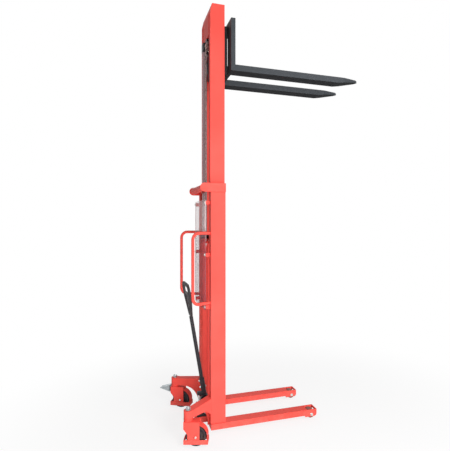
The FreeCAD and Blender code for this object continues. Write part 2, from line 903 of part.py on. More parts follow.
def caster_wheel():
    """A moulded wheel with a hub, a recessed web and a rim, from its right-hand side face."""
    bore = "caster_axle_radius + running_clearance"
    rim = "wheel_radius - wheel_rim_depth"
    far = "wheel_width"
    return turned(
        [
            (bore, "0"),
            ("wheel_hub_radius", "0"),
            ("wheel_hub_radius", "wheel_recess"),
            (rim, "wheel_recess"),
            (rim, "0"),
            ("wheel_radius - wheel_chamfer", "0"),
            ("wheel_radius", "wheel_chamfer"),
            ("wheel_radius", f"{far} - wheel_chamfer"),
            ("wheel_radius - wheel_chamfer", far),
            (rim, far),
            (rim, f"{far} - wheel_recess"),
            ("wheel_hub_radius", f"{far} - wheel_recess"),
            ("wheel_hub_radius", far),
            (bore, far),
        ]
    )


def pedal_place():
    """Where the brake pedal turns, in a straight caster: its X and Z."""
    return "-pedal_back", "crown_top - crown_thickness - pedal_pivot_drop"


def brake_pin(outside):
    """The pin between the cheeks of the left yoke, on which the pedal turns."""
    x, z = pedal_place()
    return rod("Y", x, f"-({outside})", z, "pedal_pin_radius", f"({outside}) * 2")


def make_brake_pedal():
    """The foot brake: a barrel on the pin, a tread behind it and a shoe facing the tyre."""
    x, z = pedal_place()
    y = ("-pedal_width / 2", "pedal_width / 2")
    barrel = rod("Y", x, y[0], z, "pedal_barrel_radius", "pedal_width")
    bore = rod("Y", x, y[0], z, "pedal_pin_radius + running_clearance", "pedal_width")
    rear = "-(pedal_reach - pedal_back)"
    bend = f"{rear} + pedal_tread"
    plate = padded(
        "XZ_Plane",
        [
            ("0", "-pedal_thickness"),
            (f"{bend} - pedal_thickness", "-pedal_thickness"),
            (f"{bend} - pedal_thickness", "pedal_rise - pedal_thickness"),
            (rear, "pedal_rise - tread_drop - pedal_thickness"),
            (rear, "pedal_rise - tread_drop"),
            (bend, "pedal_rise"),
            (bend, "0"),
            ("0", "0"),
        ],
        "pedal_width",
    )
    place(plate, x, y[1], z)
    shoe_x = (f"{x} - shoe_thickness / 2", f"{x} + shoe_thickness / 2")
    shoe = block(shoe_x, y, (f"{z} - shoe_drop", z))
    node("brake_pedal", turn_caster(cut(fuse(barrel, plate, shoe), bore), *LEFT))


def make_handles():
    """Push handles: U-shaped tubes, splayed outwards, welded to the rear of the uprights."""
    radius = size("handle_tube_radius")
    low, high = size("handle_low"), size("handle_high")
    reach = size("handle_reach")
    bend = size("handle_bend")
    for side, sign in SIDES:
        root = sign * size("handle_lateral")
        out = root + sign * size("handle_splay")
        lead = FreeCAD.Vector(radius, -sign * radius * size("handle_splay") / reach, 0)
        points = [
            FreeCAD.Vector(0, root, low) + lead,
            FreeCAD.Vector(-reach, out, low),
            FreeCAD.Vector(-reach, out, high),
            FreeCAD.Vector(0, root, high) + lead,
        ]
        bar = feature(bent_tube(points, [bend] * len(points), radius))
        place(bar, "mast_rear", "0", "0")
        ahead = block(
            (fwd("0"), fwd("handle_reach")),
            span(sign, "0", "mast_width"),
            ("handle_low - handle_reach", "handle_high + handle_reach"),
        )
        node(f"push_handle_{side}", cut(bar, ahead))


def make_guard():
    """The mesh guard behind the mast, with its brackets and bolts."""
    half, low, high = size("guard_half_width"), size("guard_low"), size("guard_high")
    border, wire = size("guard_border"), size("guard_wire")
    step_y = (2 * (half - border) + wire) / GUARD_COLUMNS
    step_z = (high - low - 2 * border + wire) / GUARD_ROWS
    bolt_y = half - size("guard_bolt_inset")
    row_gap = (high - low - 2 * size("guard_row_inset")) / (GUARD_BOLT_ROWS - 1)
    bolt_rows = [low + size("guard_row_inset") + row_gap * k for k in range(GUARD_BOLT_ROWS)]
    clear = size("bracket_width")
    wires = [rectangle(-half, low, half, high)]
    for column in range(GUARD_COLUMNS):
        for line in range(GUARD_ROWS):
            y = -half + border + column * step_y
            z = low + border + line * step_z
            corner = column in (0, GUARD_COLUMNS - 1)
            if corner and any(z - clear < row < z + step_z + clear for row in bolt_rows):
                continue
            wires.append(rectangle(y, z, y + step_y - wire, z + step_z - wire))
    for row in bolt_rows:
        for y in (-bolt_y, bolt_y):
            ring = Part.makeCircle(size("bolt_radius"), FreeCAD.Vector(0, y, row), FreeCAD.Vector(1, 0, 0))
            wires.append(Part.Wire(ring))
    face = Part.Face(wires[0]).cut([Part.Face(w) for w in wires[1:]])
    panel = feature(face.extrude(FreeCAD.Vector(-size("guard_thickness"), 0, 0)))
    node("mesh_guard", place(panel, fwd("-guard_standoff"), "0", "0"))
    brackets = []
    bolts = []
    for number in range(GUARD_BOLT_ROWS):
        gap = f"(guard_high - guard_low - guard_row_inset * 2) * {number} / {GUARD_BOLT_ROWS - 1}"
        row = f"guard_low + guard_row_inset + {gap}"
        z = (f"{row} - bracket_height / 2", f"{row} + bracket_height / 2")
        for side, sign in SIDES:
            centre = "guard_half_width - guard_bolt_inset"
            y = span(sign, f"{centre} - bracket_width / 2", f"{centre} + bracket_width / 2")
            leg = span(sign, f"{centre} + bracket_width / 2 - bracket_wall", f"{centre} + bracket_width / 2")
            face_plate = block((fwd("-guard_standoff"), fwd("bracket_wall - guard_standoff")), y, z)
            stand = block((fwd("-guard_standoff"), fwd("0")), leg, z)
            brackets.append(fuse(face_plate, stand))
            start = fwd("-guard_standoff - guard_thickness - bolt_head_height")
            bolt_centre = f"{sign} * ({centre})"
            head = rod("X", start, bolt_centre, row, "bolt_head_radius", "bolt_head_height")
            shank = rod("X", start, bolt_centre, row, "bolt_radius", "bolt_head_height + guard_thickness")
            bolts.append(fuse(head, shank))
    node("guard_brackets", group(*brackets))
    node("guard_bolts", group(*bolts))


def rectangle(y_low, z_low, y_high, z_high):
    """A closed rectangle in the plane across the stacker."""
    corners = [(y_low, z_low), (y_high, z_low), (y_high, z_high), (y_low, z_high), (y_low, z_low)]
    return Part.makePolygon([FreeCAD.Vector(0, y, z) for y, z in corners])


def make_cylinder():
    """The lift cylinder with its gland, the rod with its piston, and the chain anchors on its sides."""
    tube = rod("Z", fwd("0"), "0", "leg_top", "cylinder_radius", "cylinder_top - leg_top")
    bore = rod(
        "Z",
        fwd("0"),
        "0",
        "leg_top + cylinder_floor",
        "cylinder_bore",
        "cylinder_top - leg_top - cylinder_floor + overrun",
    )
    node("cylinder_tube", cut(tube, bore))
    cap = rod("Z", fwd("0"), "0", "cylinder_top", "gland_radius", "gland_height")
    throat = rod(
        "Z",
        fwd("0"),
        "0",
        "cylinder_top - overrun",
        "rod_radius + running_clearance",
        "gland_height + overrun * 2",
    )
    node("cylinder_gland", cut(cap, throat))
    piston_low = "cylinder_top - body_clearance - piston_length"
    crosshead_low = "sheave_height - crosshead_half_height"
    bar = rod("Z", fwd("0"), "0", piston_low, "rod_radius", f"{crosshead_low} - ({piston_low})")
    piston = rod("Z", fwd("0"), "0", piston_low, "cylinder_bore - running_clearance", "piston_length")
    node("lift_rod", fuse(bar, piston))
    plate = block(
        (fwd("-anchor_half_length"), fwd("anchor_half_length")),
        ("-anchor_half_width", "anchor_half_width"),
        ("anchor_height", "anchor_height + anchor_thickness"),
    )
    hole = rod(
        "Z", fwd("0"), "0", "anchor_height - overrun", "cylinder_radius", "anchor_thickness + overrun * 2"
    )
    node("chain_anchors", cut(plate, hole))


def make_chain_drive():
    """Crosshead on the rod, sheave axle, sheaves and the two lift chains over them."""
    axle_x = "sheave_pitch_radius"
    block_low = "sheave_height - crosshead_half_height"
    block_top = "sheave_height + crosshead_half_height"
    y = ("-crosshead_half_width", "crosshead_half_width")
    body = block((fwd("-crosshead_rear"), fwd(f"{axle_x} + crosshead_rear")), y, (block_low, block_top))
    neck = block(
        (fwd("inner_forward"), fwd("inner_forward + top_beam_thickness")),
        y,
        (block_top, "neck_top"),
    )
    half = "(chain_lateral + sheave_width / 2 + axle_end)"
    hole = rod("Y", fwd(axle_x), f"-{half}", "sheave_height", "sheave_axle_radius", f"{half} * 2")
    node("rod_crosshead", cut(fuse(body, neck), hole))
    node(
        "sheave_axle",
        rod("Y", fwd(axle_x), f"-{half}", "sheave_height", "sheave_axle_radius", f"{half} * 2"),
    )
    rear_strands = []
    front_strands = []
    for side, sign in SIDES:
        wheel = chain_sheave()
        start = f"{sign} * chain_lateral - sheave_width / 2"
        node(f"chain_sheave_{side}", place(wheel, fwd(axle_x), start, "sheave_height"))
        rear, front = lift_chain(sign)
        rear_strands.append(rear)
        front_strands.append(front)
    node("chain_rear", group(*rear_strands))
    node("chain_front", group(*front_strands))


def chain_sheave():
    """A grooved sheave, from its right-hand side face."""
    bore = "sheave_axle_radius + running_clearance"
    groove = "sheave_pitch_radius - chain_thickness / 2 - body_clearance"
    rim = "(sheave_width - chain_width) / 2 - body_clearance"
    return turned(
        [
            (bore, "0"),
            ("sheave_rim_radius", "0"),
            ("sheave_rim_radius", rim),
            (groove, rim),
            (groove, f"sheave_width - ({rim})"),
            ("sheave_rim_radius", f"sheave_width - ({rim})"),
            ("sheave_rim_radius", "sheave_width"),
            (bore, "sheave_width"),
        ]
    )


def lift_chain(sign):
    """One chain: up from the anchor and over the sheave, then down to the carriage."""
    half = "chain_thickness / 2"
    start = f"{sign} * chain_lateral - chain_width / 2"
    y = (start, f"{sign} * chain_lateral + chain_width / 2")
    rear = block((fwd(f"-{half}"), fwd(half)), y, ("anchor_height + anchor_thickness", "sheave_height"))
    front_x = (fwd(f"sheave_pitch_radius * 2 - {half}"), fwd(f"sheave_pitch_radius * 2 + {half}"))
    front = block(front_x, y, ("clevis_top", "sheave_height"))
    centre = fwd("sheave_pitch_radius")
    outer = rod("Y", centre, start, "sheave_height", f"sheave_pitch_radius + {half}", "chain_width")
    inner = rod("Y", centre, start, "sheave_height", f"sheave_pitch_radius - {half}", "chain_width")
    upper = block(
        (fwd(f"-{half} - overrun"), fwd(f"sheave_pitch_radius * 2 + {half} + overrun")),
        y,
        ("sheave_height", "sheave_height + sheave_pitch_radius * 2"),
    )
    return fuse(rear, common(cut(outer, inner), upper)), front


def make_carriage():
    """The carriage that runs in the inner mast: side plates, rollers, cross bars, clevis and forks."""
    stubs = []
    roller_x = "inner_forward + mast_depth / 2"
    plate_outer = "plate_lateral + plate_thickness"
    roller_inner = "inner_width / 2 - inner_web - guide_side_gap - guide_width"
    for side, sign in SIDES:
        plate = block(
            (fwd("plate_rear"), fwd("shank_rear")),
            span(sign, "plate_lateral", plate_outer),
            ("plate_bottom", "plate_top"),
        )
        node(f"carriage_plate_{side}", plate)
        for height, name in (("carriage_roller_low", "lower"), ("carriage_roller_high", "upper")):
            y = span(sign, plate_outer, f"{roller_inner} + guide_width")
            stubs.append(rod("Y", fwd(roller_x), y[0], height, "stub_radius", f"({y[1]}) - ({y[0]})"))
            roller = guide_roller()
            place(roller, fwd(roller_x), span(sign, roller_inner, f"{roller_inner} + guide_width")[0], height)
            node(f"carriage_roller_{name}_{side}", roller)
        node(f"fork_{side}", fork(sign))
    node("carriage_roller_stubs", group(*stubs))
    wide = ("fork_width - forks_width / 2", "forks_width / 2 - fork_width")
    bar_x = (fwd("shank_rear"), fwd("shank_rear + bar_thickness"))
    node("carriage_bar_upper", block(bar_x, wide, ("shank_top - bar_height", "shank_top")))
    node("carriage_bar_lower", block(bar_x, wide, ("plate_bottom", "plate_bottom + bar_height")))
    strand = "sheave_pitch_radius * 2"
    clevis = block(
        (fwd(f"{strand} - clevis_length / 2"), fwd(f"{strand} + clevis_length / 2")),
        ("-plate_lateral", "plate_lateral"),
        ("clevis_top - clevis_height", "clevis_top"),
    )
    node("chain_clevis", clevis)


def fork(sign):
    """An L-shaped fork whose blade thins towards a narrow nose."""
    height = "shank_top - fork_bottom"
    tip_x = "front_end - shank_rear"
    bar = padded(
        "XZ_Plane",
        [
            ("0", "0"),
            (f"{tip_x} - fork_taper", "0"),
            (tip_x, "fork_thickness - fork_tip"),
            (tip_x, "fork_thickness"),
            ("shank_thickness", "fork_thickness"),
            ("shank_thickness", height),
            ("0", height),
        ],
        "fork_width",
    )
    nose_start = f"{tip_x} - fork_nose"
    bend_x = f"{tip_x} - fork_nose_bend"
    side_cut = f"(fork_width - fork_nose_width) * {FORK_NOSE_SHARE}"
    tip_cut = f"{side_cut} + fork_nose_bend"
    for edge, into in (("0", "-1"), ("-fork_width", "1")):
        corner = [
            (nose_start, f"{edge} - ({into}) * overrun"),
            (nose_start, edge),
            (bend_x, f"{edge} + ({into}) * ({side_cut})"),
            (tip_x, f"{edge} + ({into}) * ({tip_cut})"),
            (f"{tip_x} + overrun", f"{edge} + ({into}) * ({tip_cut})"),
            (f"{tip_x} + overrun", f"{edge} - ({into}) * overrun"),
        ]
        pocket(bar, "XY_Plane", corner, reverse=True)
    outer = "forks_width / 2"
    face = outer if sign > 0 else f"fork_width - {outer}"
    return place(bar, fwd("shank_rear"), face, "fork_bottom")


def make_pump():
    """The pump block with its ears and bore, the lever pin and the plunger."""
    middle = "-pump_lateral"
    y = (f"{middle} - pump_width / 2", f"{middle} + pump_width / 2")
    body = block((fwd("-pump_rear"), fwd("pump_length - pump_rear")), y, ("leg_top", "pump_top"))
    ears = []
    for start in (y[0], f"{y[1]} - ear_wall"):
        ears.append(
            block(
                (fwd("-pivot_setback - ear_radius"), fwd("ear_radius - pivot_setback")),
                (start, f"{start} + ear_wall"),
                ("pump_top", "pivot_height"),
            )
        )
        ears.append(rod("Y", fwd("-pivot_setback"), start, "pivot_height", "ear_radius", "ear_wall"))
    pin_hole = rod("Y", fwd("-pivot_setback"), y[0], "pivot_height", "lever_pin_radius", "pump_width")
    bore = rod(
        "Z",
        fwd("-plunger_setback"),
        middle,
        "leg_top + pump_floor",
        "plunger_radius + running_clearance",
        "pump_top",
    )
    node("pump_block", cut(fuse(body, *ears), pin_hole, bore))
    pin_start = f"{y[0]} - ear_wall / 2"
    pin_length = "pump_width + ear_wall / 2"
    pin = rod("Y", fwd("-pivot_setback"), pin_start, "pivot_height", "lever_pin_radius", pin_length)
    node("lever_pin", pin)
    cap_top = "pivot_height + nose_underside - body_clearance"
    stem_low = "pump_top - plunger_engaged"
    stem_length = f"{cap_top} - cap_height - ({stem_low})"
    stem = rod("Z", fwd("-plunger_setback"), middle, stem_low, "plunger_radius", stem_length)
    cap = rod("Z", fwd("-plunger_setback"), middle, f"{cap_top} - cap_height", "cap_radius", "cap_height")
    node("pump_plunger", fuse(stem, cap))


def lean(thing):
    """Lean a piece of the lever back about its pivot, and put it there."""
    spin_about(thing, (0, -1, 0), "lever_lean")
    return place(thing, fwd("-pivot_setback"), "-pump_lateral", "pivot_height")


def lean_rod(start, radius, length):
    """A round bar along the lever, from a distance above the pivot."""
    bar = bind(doc.addObject("Part::Cylinder", "rod"), Radius=radius, Height=length)
    spin_about(bar, (0, -1, 0), "lever_lean")
    x = fwd(f"-pivot_setback - ({start}) * sin(lever_lean)")
    return place(bar, x, "-pump_lateral", f"pivot_height + ({start}) * cos(lever_lean)")


def make_lever():
    """The pump lever: knuckle with nose and socket, bar, loop grip and release trigger."""
    half = "(pump_width / 2 - ear_wall - knuckle_gap)"
    knuckle_y = f"-pump_lateral - {half}"
    knuckle = rod("Y", fwd("-pivot_setback"), knuckle_y, "pivot_height", "knuckle_radius", f"{half} * 2")
    nose = block(
        (fwd("-pivot_setback - nose_length"), fwd("-pivot_setback")),
        ("-pump_lateral - nose_width / 2", "nose_width / 2 - pump_lateral"),
        ("pivot_height + nose_underside", "pivot_height + nose_underside + nose_height"),
    )
    socket = lean_rod("0", "socket_radius", "socket_end")
    well = lean_rod("bar_start", "bar_radius", "socket_end")
    pin_hole = rod(
        "Y",
        fwd("-pivot_setback"),
        "-pump_lateral - pump_width / 2",
        "pivot_height",
        "lever_pin_radius + running_clearance",
        "pump_width",
    )
    node("lever_socket", cut(fuse(knuckle, nose, socket), well, pin_hole))
    node("lever_bar", lean_rod("bar_start", "bar_radius", "bar_end - bar_start"))
    node("grip_loop", lean(feature(grip_shape())))
    stem = block(
        ("-trigger_half_thickness", "trigger_half_thickness"),
        ("-trigger_stem_half", "trigger_stem_half"),
        ("trigger_pivot - trigger_ear_half", "trigger_bar_height"),
    )
    width = "trigger_bar_half * 2"
    bar = rod("Y", "0", "-trigger_bar_half", "trigger_bar_height", "trigger_bar_radius", width)
    hole_radius = "trigger_pin_radius + running_clearance"
    hole = rod("Y", "0", "-trigger_bar_half", "trigger_pivot", hole_radius, width)
    node("release_trigger", lean(cut(fuse(stem, bar), hole)))


def grip_shape():
    """The closed loop of the grip, with the ears and the pin that carry the trigger."""
    wide, neck = size("grip_half_width"), size("grip_neck_half")
    top, shoulder = size("grip_top"), size("grip_shoulder")
    radius = size("grip_radius")
    low = size("bar_end") + radius
    right_half = [(neck, low), (wide, shoulder), (wide, top)]
    left_half = [(-y, z) for y, z in reversed(right_half)]
    bends = [size(name) for name in ("grip_neck_bend", "grip_shoulder_bend", "grip_corner_bend")]
    points = [FreeCAD.Vector(0, y, z) for y, z in right_half + left_half]
    loop = bent_tube(points, bends + bends[::-1], radius, closed=True)
    pivot, reach = size("trigger_pivot"), size("trigger_ear_half")
    inner = size("trigger_stem_half") + size("body_clearance")
    wall = size("trigger_ear_wall")
    ears = []
    for start in (inner, -inner - wall):
        corner = FreeCAD.Vector(-reach, start, low)
        ears.append(Part.makeBox(2 * reach, wall, pivot + reach - low, corner))
    span_of_pin = 2 * (inner + wall)
    pin_end = FreeCAD.Vector(0, -span_of_pin / 2, pivot)
    pin = Part.makeCylinder(size("trigger_pin_radius"), span_of_pin, pin_end, FreeCAD.Vector(0, 1, 0))
    return loop.fuse(ears + [pin]).removeSplitter()


def check_and_write():
    """Recompute, stop on any failed object or bad solid, then write every sub-part."""
    doc.recompute()
    failed = [thing.Label for thing in doc.Objects if {"Invalid", "Error"} & set(thing.State)]
    if failed:
        raise RuntimeError(f"failed: {failed}")
    os.makedirs("parts", exist_ok=True)
    for thing in nodes:
        if thing.Shape.isNull() or not thing.Shape.isValid() or not thing.Shape.Solids:
            raise RuntimeError(f"bad shape: {thing.Label}")
    for thing in nodes:
        thing.Shape.exportStep(f"parts/{thing.Label}.step")
        print(f"{thing.Label}: {len(thing.Shape.Solids)} solids, {thing.Shape.Volume / 1000:.1f} cm3")


make_outer_mast()
make_inner_mast()
make_legs()
make_base()
make_caster_arms()
make_casters()
make_brake_pedal()
make_handles()
make_guard()
make_cylinder()
make_chain_drive()
make_carriage()
make_pump()
make_lever()
check_and_write()
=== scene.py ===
"""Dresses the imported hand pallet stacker: finishes, guard, chains, wheels, bolts, welds, light and camera."""

from __future__ import annotations

import json
import logging
import math
from dataclasses import dataclass
from enum import Enum
from typing import Mapping, Optional, Sequence, Union

import bpy
import numpy as np
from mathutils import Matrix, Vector


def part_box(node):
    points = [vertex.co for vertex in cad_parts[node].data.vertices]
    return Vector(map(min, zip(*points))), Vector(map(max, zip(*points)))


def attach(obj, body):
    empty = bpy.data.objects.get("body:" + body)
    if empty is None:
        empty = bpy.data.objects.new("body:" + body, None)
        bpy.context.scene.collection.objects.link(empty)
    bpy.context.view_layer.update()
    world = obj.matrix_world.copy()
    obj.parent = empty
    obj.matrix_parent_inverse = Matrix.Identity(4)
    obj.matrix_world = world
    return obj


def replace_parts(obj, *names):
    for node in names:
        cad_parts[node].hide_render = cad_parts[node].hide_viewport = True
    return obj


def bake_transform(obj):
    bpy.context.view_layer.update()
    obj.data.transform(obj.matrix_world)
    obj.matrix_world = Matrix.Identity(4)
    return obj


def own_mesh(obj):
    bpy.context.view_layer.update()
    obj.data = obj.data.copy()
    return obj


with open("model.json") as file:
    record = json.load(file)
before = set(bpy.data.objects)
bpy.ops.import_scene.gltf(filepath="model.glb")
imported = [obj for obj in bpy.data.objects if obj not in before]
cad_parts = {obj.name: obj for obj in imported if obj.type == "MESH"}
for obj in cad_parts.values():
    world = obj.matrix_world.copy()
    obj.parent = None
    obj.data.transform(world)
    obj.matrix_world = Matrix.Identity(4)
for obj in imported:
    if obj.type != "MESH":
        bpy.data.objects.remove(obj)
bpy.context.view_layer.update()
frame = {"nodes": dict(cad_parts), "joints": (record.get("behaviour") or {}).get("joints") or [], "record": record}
JOINTS = {joint["name"]: joint for joint in frame["joints"]}
LOG = logging.getLogger("stacker")

Array = np.ndarray
Place = Sequence[float]
Colour = tuple[float, float, float, float]
Outline = tuple[tuple[float, float], ...]
SIDES = {"right": -1.0, "left": 1.0}
ORIGIN = (0.0, 0.0, 0.0)
AHEAD, LEFT, UP = (1.0, 0.0, 0.0), (0.0, 1.0, 0.0), (0.0, 0.0, 1.0)
WHITE = (1.0, 1.0, 1.0, 1.0)
SHARP_EDGE = math.radians(38.0)
# Rounded corners: how much of an edge they may take, and the points on each.
CORNER_SHARE = 0.45
FINE_FILLET, FILLET, LONG_FILLET, RING_SEGMENTS = 3, 5, 7, 48
# Bolt heads: shares of the washer's radius and height and of half the hex's width.
WASHER_SIDE, WASHER_TOP = 0.7, 0.96
HEX, HEX_SEGMENTS, HEX_CHAMFER, HEX_BLEND = 6, 24, 0.18, 0.25
FACE, FACE_RISE, FLAT_FACE, FLAT_RISE = 0.9, 0.03, 0.5, 0.04
DOME, DOME_ANGLE, DOME_STEPS = 0.86, 1.45, 7
THREAD_PITCH, THREAD_ROOT, THREAD_TURNS, THREAD_SEGMENTS = 0.0015, 0.86, 4, 12
# Springs: points on a turn, the part of a turn that lies flat at each end, and sides of the wire.
COIL_STEPS, COIL_FLAT, COIL_SIDES = 24, 0.8, 6
# Welds: metres between points, points on a ripple, and how the bead swells and ends.
WELD_STEP, WELD_WAVE, WELD_SIDES = 0.0016, 3, 7
WELD_RIPPLE, WELD_TAPER, WELD_TIP = 0.14, 12, 0.05
BEAD_STEPS, RING_STEPS = 8, 24


class Slot(str, Enum):
    """The record's material slots."""

    RED = "red_paint"
    BLACK = "black_paint"
    STEEL = "machined_steel"
    CHROME = "rod_chrome"
    ZINC = "zinc_bolt"
    CHAIN = "chain_steel"
    NYLON = "nylon"
    WHEEL = "wheel_black"
    ROLLER = "roller_brown"
    GRIP = "grip_black"


class Axis(Enum):
    """Frames that stand a turned shape along one axis; the rows are where its own X, Y and Z go."""

    X = ((0.0, 1.0, 0.0), (0.0, 0.0, 1.0), (1.0, 0.0, 0.0))
    Y = ((0.0, 0.0, 1.0), (1.0, 0.0, 0.0), (0.0, 1.0, 0.0))
    Z = ((1.0, 0.0, 0.0), (0.0, 1.0, 0.0), (0.0, 0.0, 1.0))
    BACK = ((0.0, 0.0, 1.0), (0.0, 1.0, 0.0), (-1.0, 0.0, 0.0))
    RIGHT = ((1.0, 0.0, 0.0), (0.0, 0.0, 1.0), (0.0, -1.0, 0.0))
    DOWN = ((1.0, 0.0, 0.0), (0.0, -1.0, 0.0), (0.0, 0.0, -1.0))


# --- surfaces worked out as whole arrays


@dataclass
class Surface:
    """Points of a mesh and its faces, one array of faces for each number of corners."""

    points: Array
    faces: list[Array]

    def put(self, at: Place, turn: Union[Axis, Array] = Axis.Z) -> Surface:
        """The surface turned into a frame, whose rows are where X, Y and Z go, and shifted to a place."""
        rows = np.array(turn.value) if isinstance(turn, Axis) else turn
        return Surface(self.points @ rows + np.asarray(at, float), self.faces)

    def arrayed(self, offsets: Array, frames: Optional[Array] = None) -> Surface:
        """Copies of the surface, each point times the copy's frame plus the copy's offset.

        Args:
            offsets: One place for each copy.
            frames: One 3 by 3 frame for each copy, whose rows are where X, Y and Z go.

        Returns:
            All copies as one surface.
        """
        offsets = np.asarray(offsets, float)
        frames = np.tile(np.eye(3), (len(offsets), 1, 1)) if frames is None else frames
        points = np.einsum("nj,kji->kni", self.points, frames) + offsets[:, None]
        step = (np.arange(len(offsets)) * len(self.points))[:, None, None]
        return Surface(points.reshape(-1, 3), [(f[None] + step).reshape(-1, f.shape[1]) for f in self.faces])

    def outward(self) -> Surface:
        """The surface with its faces turned outwards, by the sign of the volume that they enclose."""
        volume = 0.0
        for face in self.faces:
            corners = self.points[face]
            cross = np.cross(corners[:, 1:-1], corners[:, 2:])
            volume += float((cross * corners[:, :1]).sum())
        return self if volume > 0 else Surface(self.points, [f[:, ::-1] for f in self.faces])


def joined(surfaces: Sequence[Surface]) -> Surface:
    """Several surfaces as one, the faces of each counted on from those before."""
    starts = np.cumsum([0] + [len(s.points) for s in surfaces[:-1]])
    faces = [f + start for s, start in zip(surfaces, starts) for f in s.faces]
    return Surface(np.concatenate([s.points for s in surfaces]), faces)


def stood(side: Place, up: Place) -> Array:
    """A frame whose Y and Z point along two directions at right angles; X is their cross product."""
    side, up = np.asarray(side, float), np.asarray(up, float)
    return np.stack([np.cross(side, up), side, up])


def grid_faces(rows: int, columns: int, loop_rows: bool, loop_columns: bool) -> Array:
    """Four-cornered faces of a grid: each joins a point to its neighbours in the next row and column.

    Args:
        rows: Number of rows.
        columns: Number of columns.
        loop_rows: Whether the last row joins the first.
        loop_columns: Whether the last column joins the first.

    Returns:
        Corner numbers, four for each face.
    """
    row, column = np.meshgrid(
        np.arange(rows - (not loop_rows)), np.arange(columns - (not loop_columns)), indexing="ij"
    )
    row, column = row.ravel(), column.ravel()
    below, beside = (row + 1) % rows, (column + 1) % columns
    return np.stack([row * columns + column, row * columns + beside, below * columns + beside,
                     below * columns + column], 1)


def angles(count: int) -> Array:
    """Angles that share out a full turn."""
    return np.linspace(0.0, math.tau, count, endpoint=False)


def circle(sides: int, radius: float) -> Array:
    """Points round a circle."""
    angle = angles(sides)
    return radius * np.stack([np.cos(angle), np.sin(angle)], 1)


def at_sides(lateral: float) -> Array:
    """Two places, as far to the right of the middle as to the left."""
    return np.array([[0.0, -lateral, 0.0], [0.0, lateral, 0.0]])


def spun(radius: Array, height: Array, segments: int) -> Array:
    """Rings of points about Z: x = radius cos a, y = radius sin a, z = height."""
    angle = angles(segments)
    rings = np.broadcast_arrays(radius * np.cos(angle), radius * np.sin(angle), height)
    return np.stack(rings, -1).reshape(-1, 3)


def end_faces(rows: int, columns: int) -> Array:
    """The two faces that close a grid whose rows are rings: the first ring turned round, and the last."""
    first = np.arange(columns)
    return np.stack([first[::-1], first + (rows - 1) * columns])


def lathe(profile: Array, segments: int) -> Surface:
    """A closed outline of (radius, height) spun about Z."""
    faces = grid_faces(len(profile), segments, True, True)
    return Surface(spun(profile[:, :1], profile[:, 1:], segments), [faces]).outward()


def wheel(half: Array, crown: Sequence[Place], fillet: float, steps: int, segments: int) -> Surface:
    """A wheel about Y: half an outline, its crown and the same half mirrored, rounded and spun.

    Args:
        half: (radius, width) from the bore to near the crown, on the side where the width is above zero.
        crown: Points between both halves, if any.
        fillet: How far the corners are cut back.
        steps: Points on each rounded corner.
        segments: Points round the wheel.

    Returns:
        The closed surface, about the origin.
    """
    outline = np.array([*(half * (1, -1)), *crown, *half[::-1]])
    return lathe(rounded(outline, fillet, steps), segments).put(ORIGIN, Axis.Y)


def stack(rings: Array, corners: int, segments: int) -> Surface:
    """Rings of (radius, height, share of flats) up Z, with flat ends.

    Each ring is a circle whose radius is blended by its share towards the polygon round it, which is the
    radius over the cosine of the angle from the middle of the nearest flat.

    Args:
        rings: One row for each ring.
        corners: Corners of the polygon.
        segments: Points round each ring.

    Returns:
        The closed surface.
    """
    flat = math.tau / corners
    polygon = 1.0 / np.cos((angles(segments) + flat / 2) % flat - flat / 2)
    radius = rings[:, :1] * (1.0 + rings[:, 2:] * (polygon - 1.0))
    faces = [grid_faces(len(rings), segments, False, True), end_faces(len(rings), segments)]
    return Surface(spun(radius, rings[:, 1:2], segments), faces).outward()


def slab(outline: Array, thickness: float) -> Surface:
    """A flat plate: the (x, z) outline at y = -thickness / 2 and + thickness / 2, joined round its edge."""
    count, half = len(outline), np.array([-0.5, 0.5])[:, None] * thickness
    points = np.stack(np.broadcast_arrays(outline[:, 0], half, outline[:, 1]), -1).reshape(-1, 3)
    return Surface(points, [grid_faces(2, count, False, True), end_faces(2, count)]).outward()


def sweep(
    path: Array, section: Array, normal: Place, scale: Optional[Array] = None, closed: bool = False
) -> Surface:
    """A section carried along a path: path + scale (u side + v normal), where side = tangent x normal.

    Args:
        path: Points of the path, which lies near a plane.
        section: (u, v) points of the closed section.
        normal: Normal of that plane.
        scale: Size of the section at each point of the path.
        closed: Whether the path is a loop.

    Returns:
        The closed tube.
    """
    ahead, behind = np.roll(path, -1, 0), np.roll(path, 1, 0)
    if not closed:
        ahead[-1], behind[0] = path[-1], path[0]
    tangent = (ahead - behind) / np.linalg.norm(ahead - behind, axis=1, keepdims=True)
    normal = np.asarray(normal, float)
    side = np.cross(tangent, normal)
    scale = np.ones(len(path)) if scale is None else scale
    reach = section[None, :, :1] * side[:, None] + section[None, :, 1:] * normal
    points = (path[:, None] + scale[:, None, None] * reach).reshape(-1, 3)
    count = len(section)
    faces = [grid_faces(len(path), count, closed, True)]
    if not closed:
        faces.append(end_faces(len(path), count))
    return Surface(points, faces).outward()


def rounded(corners: Array, radius: float, steps: int) -> Array:
    """A closed outline with each corner cut back by a radius and rounded by a quadratic curve through it.

    The curve is (1 - t)^2 start + 2 t (1 - t) corner + t^2 end.

    Args:
        corners: Corner points in order.
        radius: How far along its edges each corner is cut back, at most a share of an edge.
        steps: Points on each rounded corner.

    Returns:
        Points of the rounded outline.
    """
    back, ahead = np.roll(corners, 1, 0) - corners, np.roll(corners, -1, 0) - corners
    near, far = (np.linalg.norm(v, axis=1, keepdims=True) for v in (back, ahead))
    start = corners + back / near * np.minimum(radius, CORNER_SHARE * near)
    end = corners + ahead / far * np.minimum(radius, CORNER_SHARE * far)
    t = np.linspace(0.0, 1.0, steps)[None, :, None]
    curve = (1 - t) ** 2 * start[:, None] + 2 * t * (1 - t) * corners[:, None] + t**2 * end[:, None]
    return curve.reshape(-1, corners.shape[1])


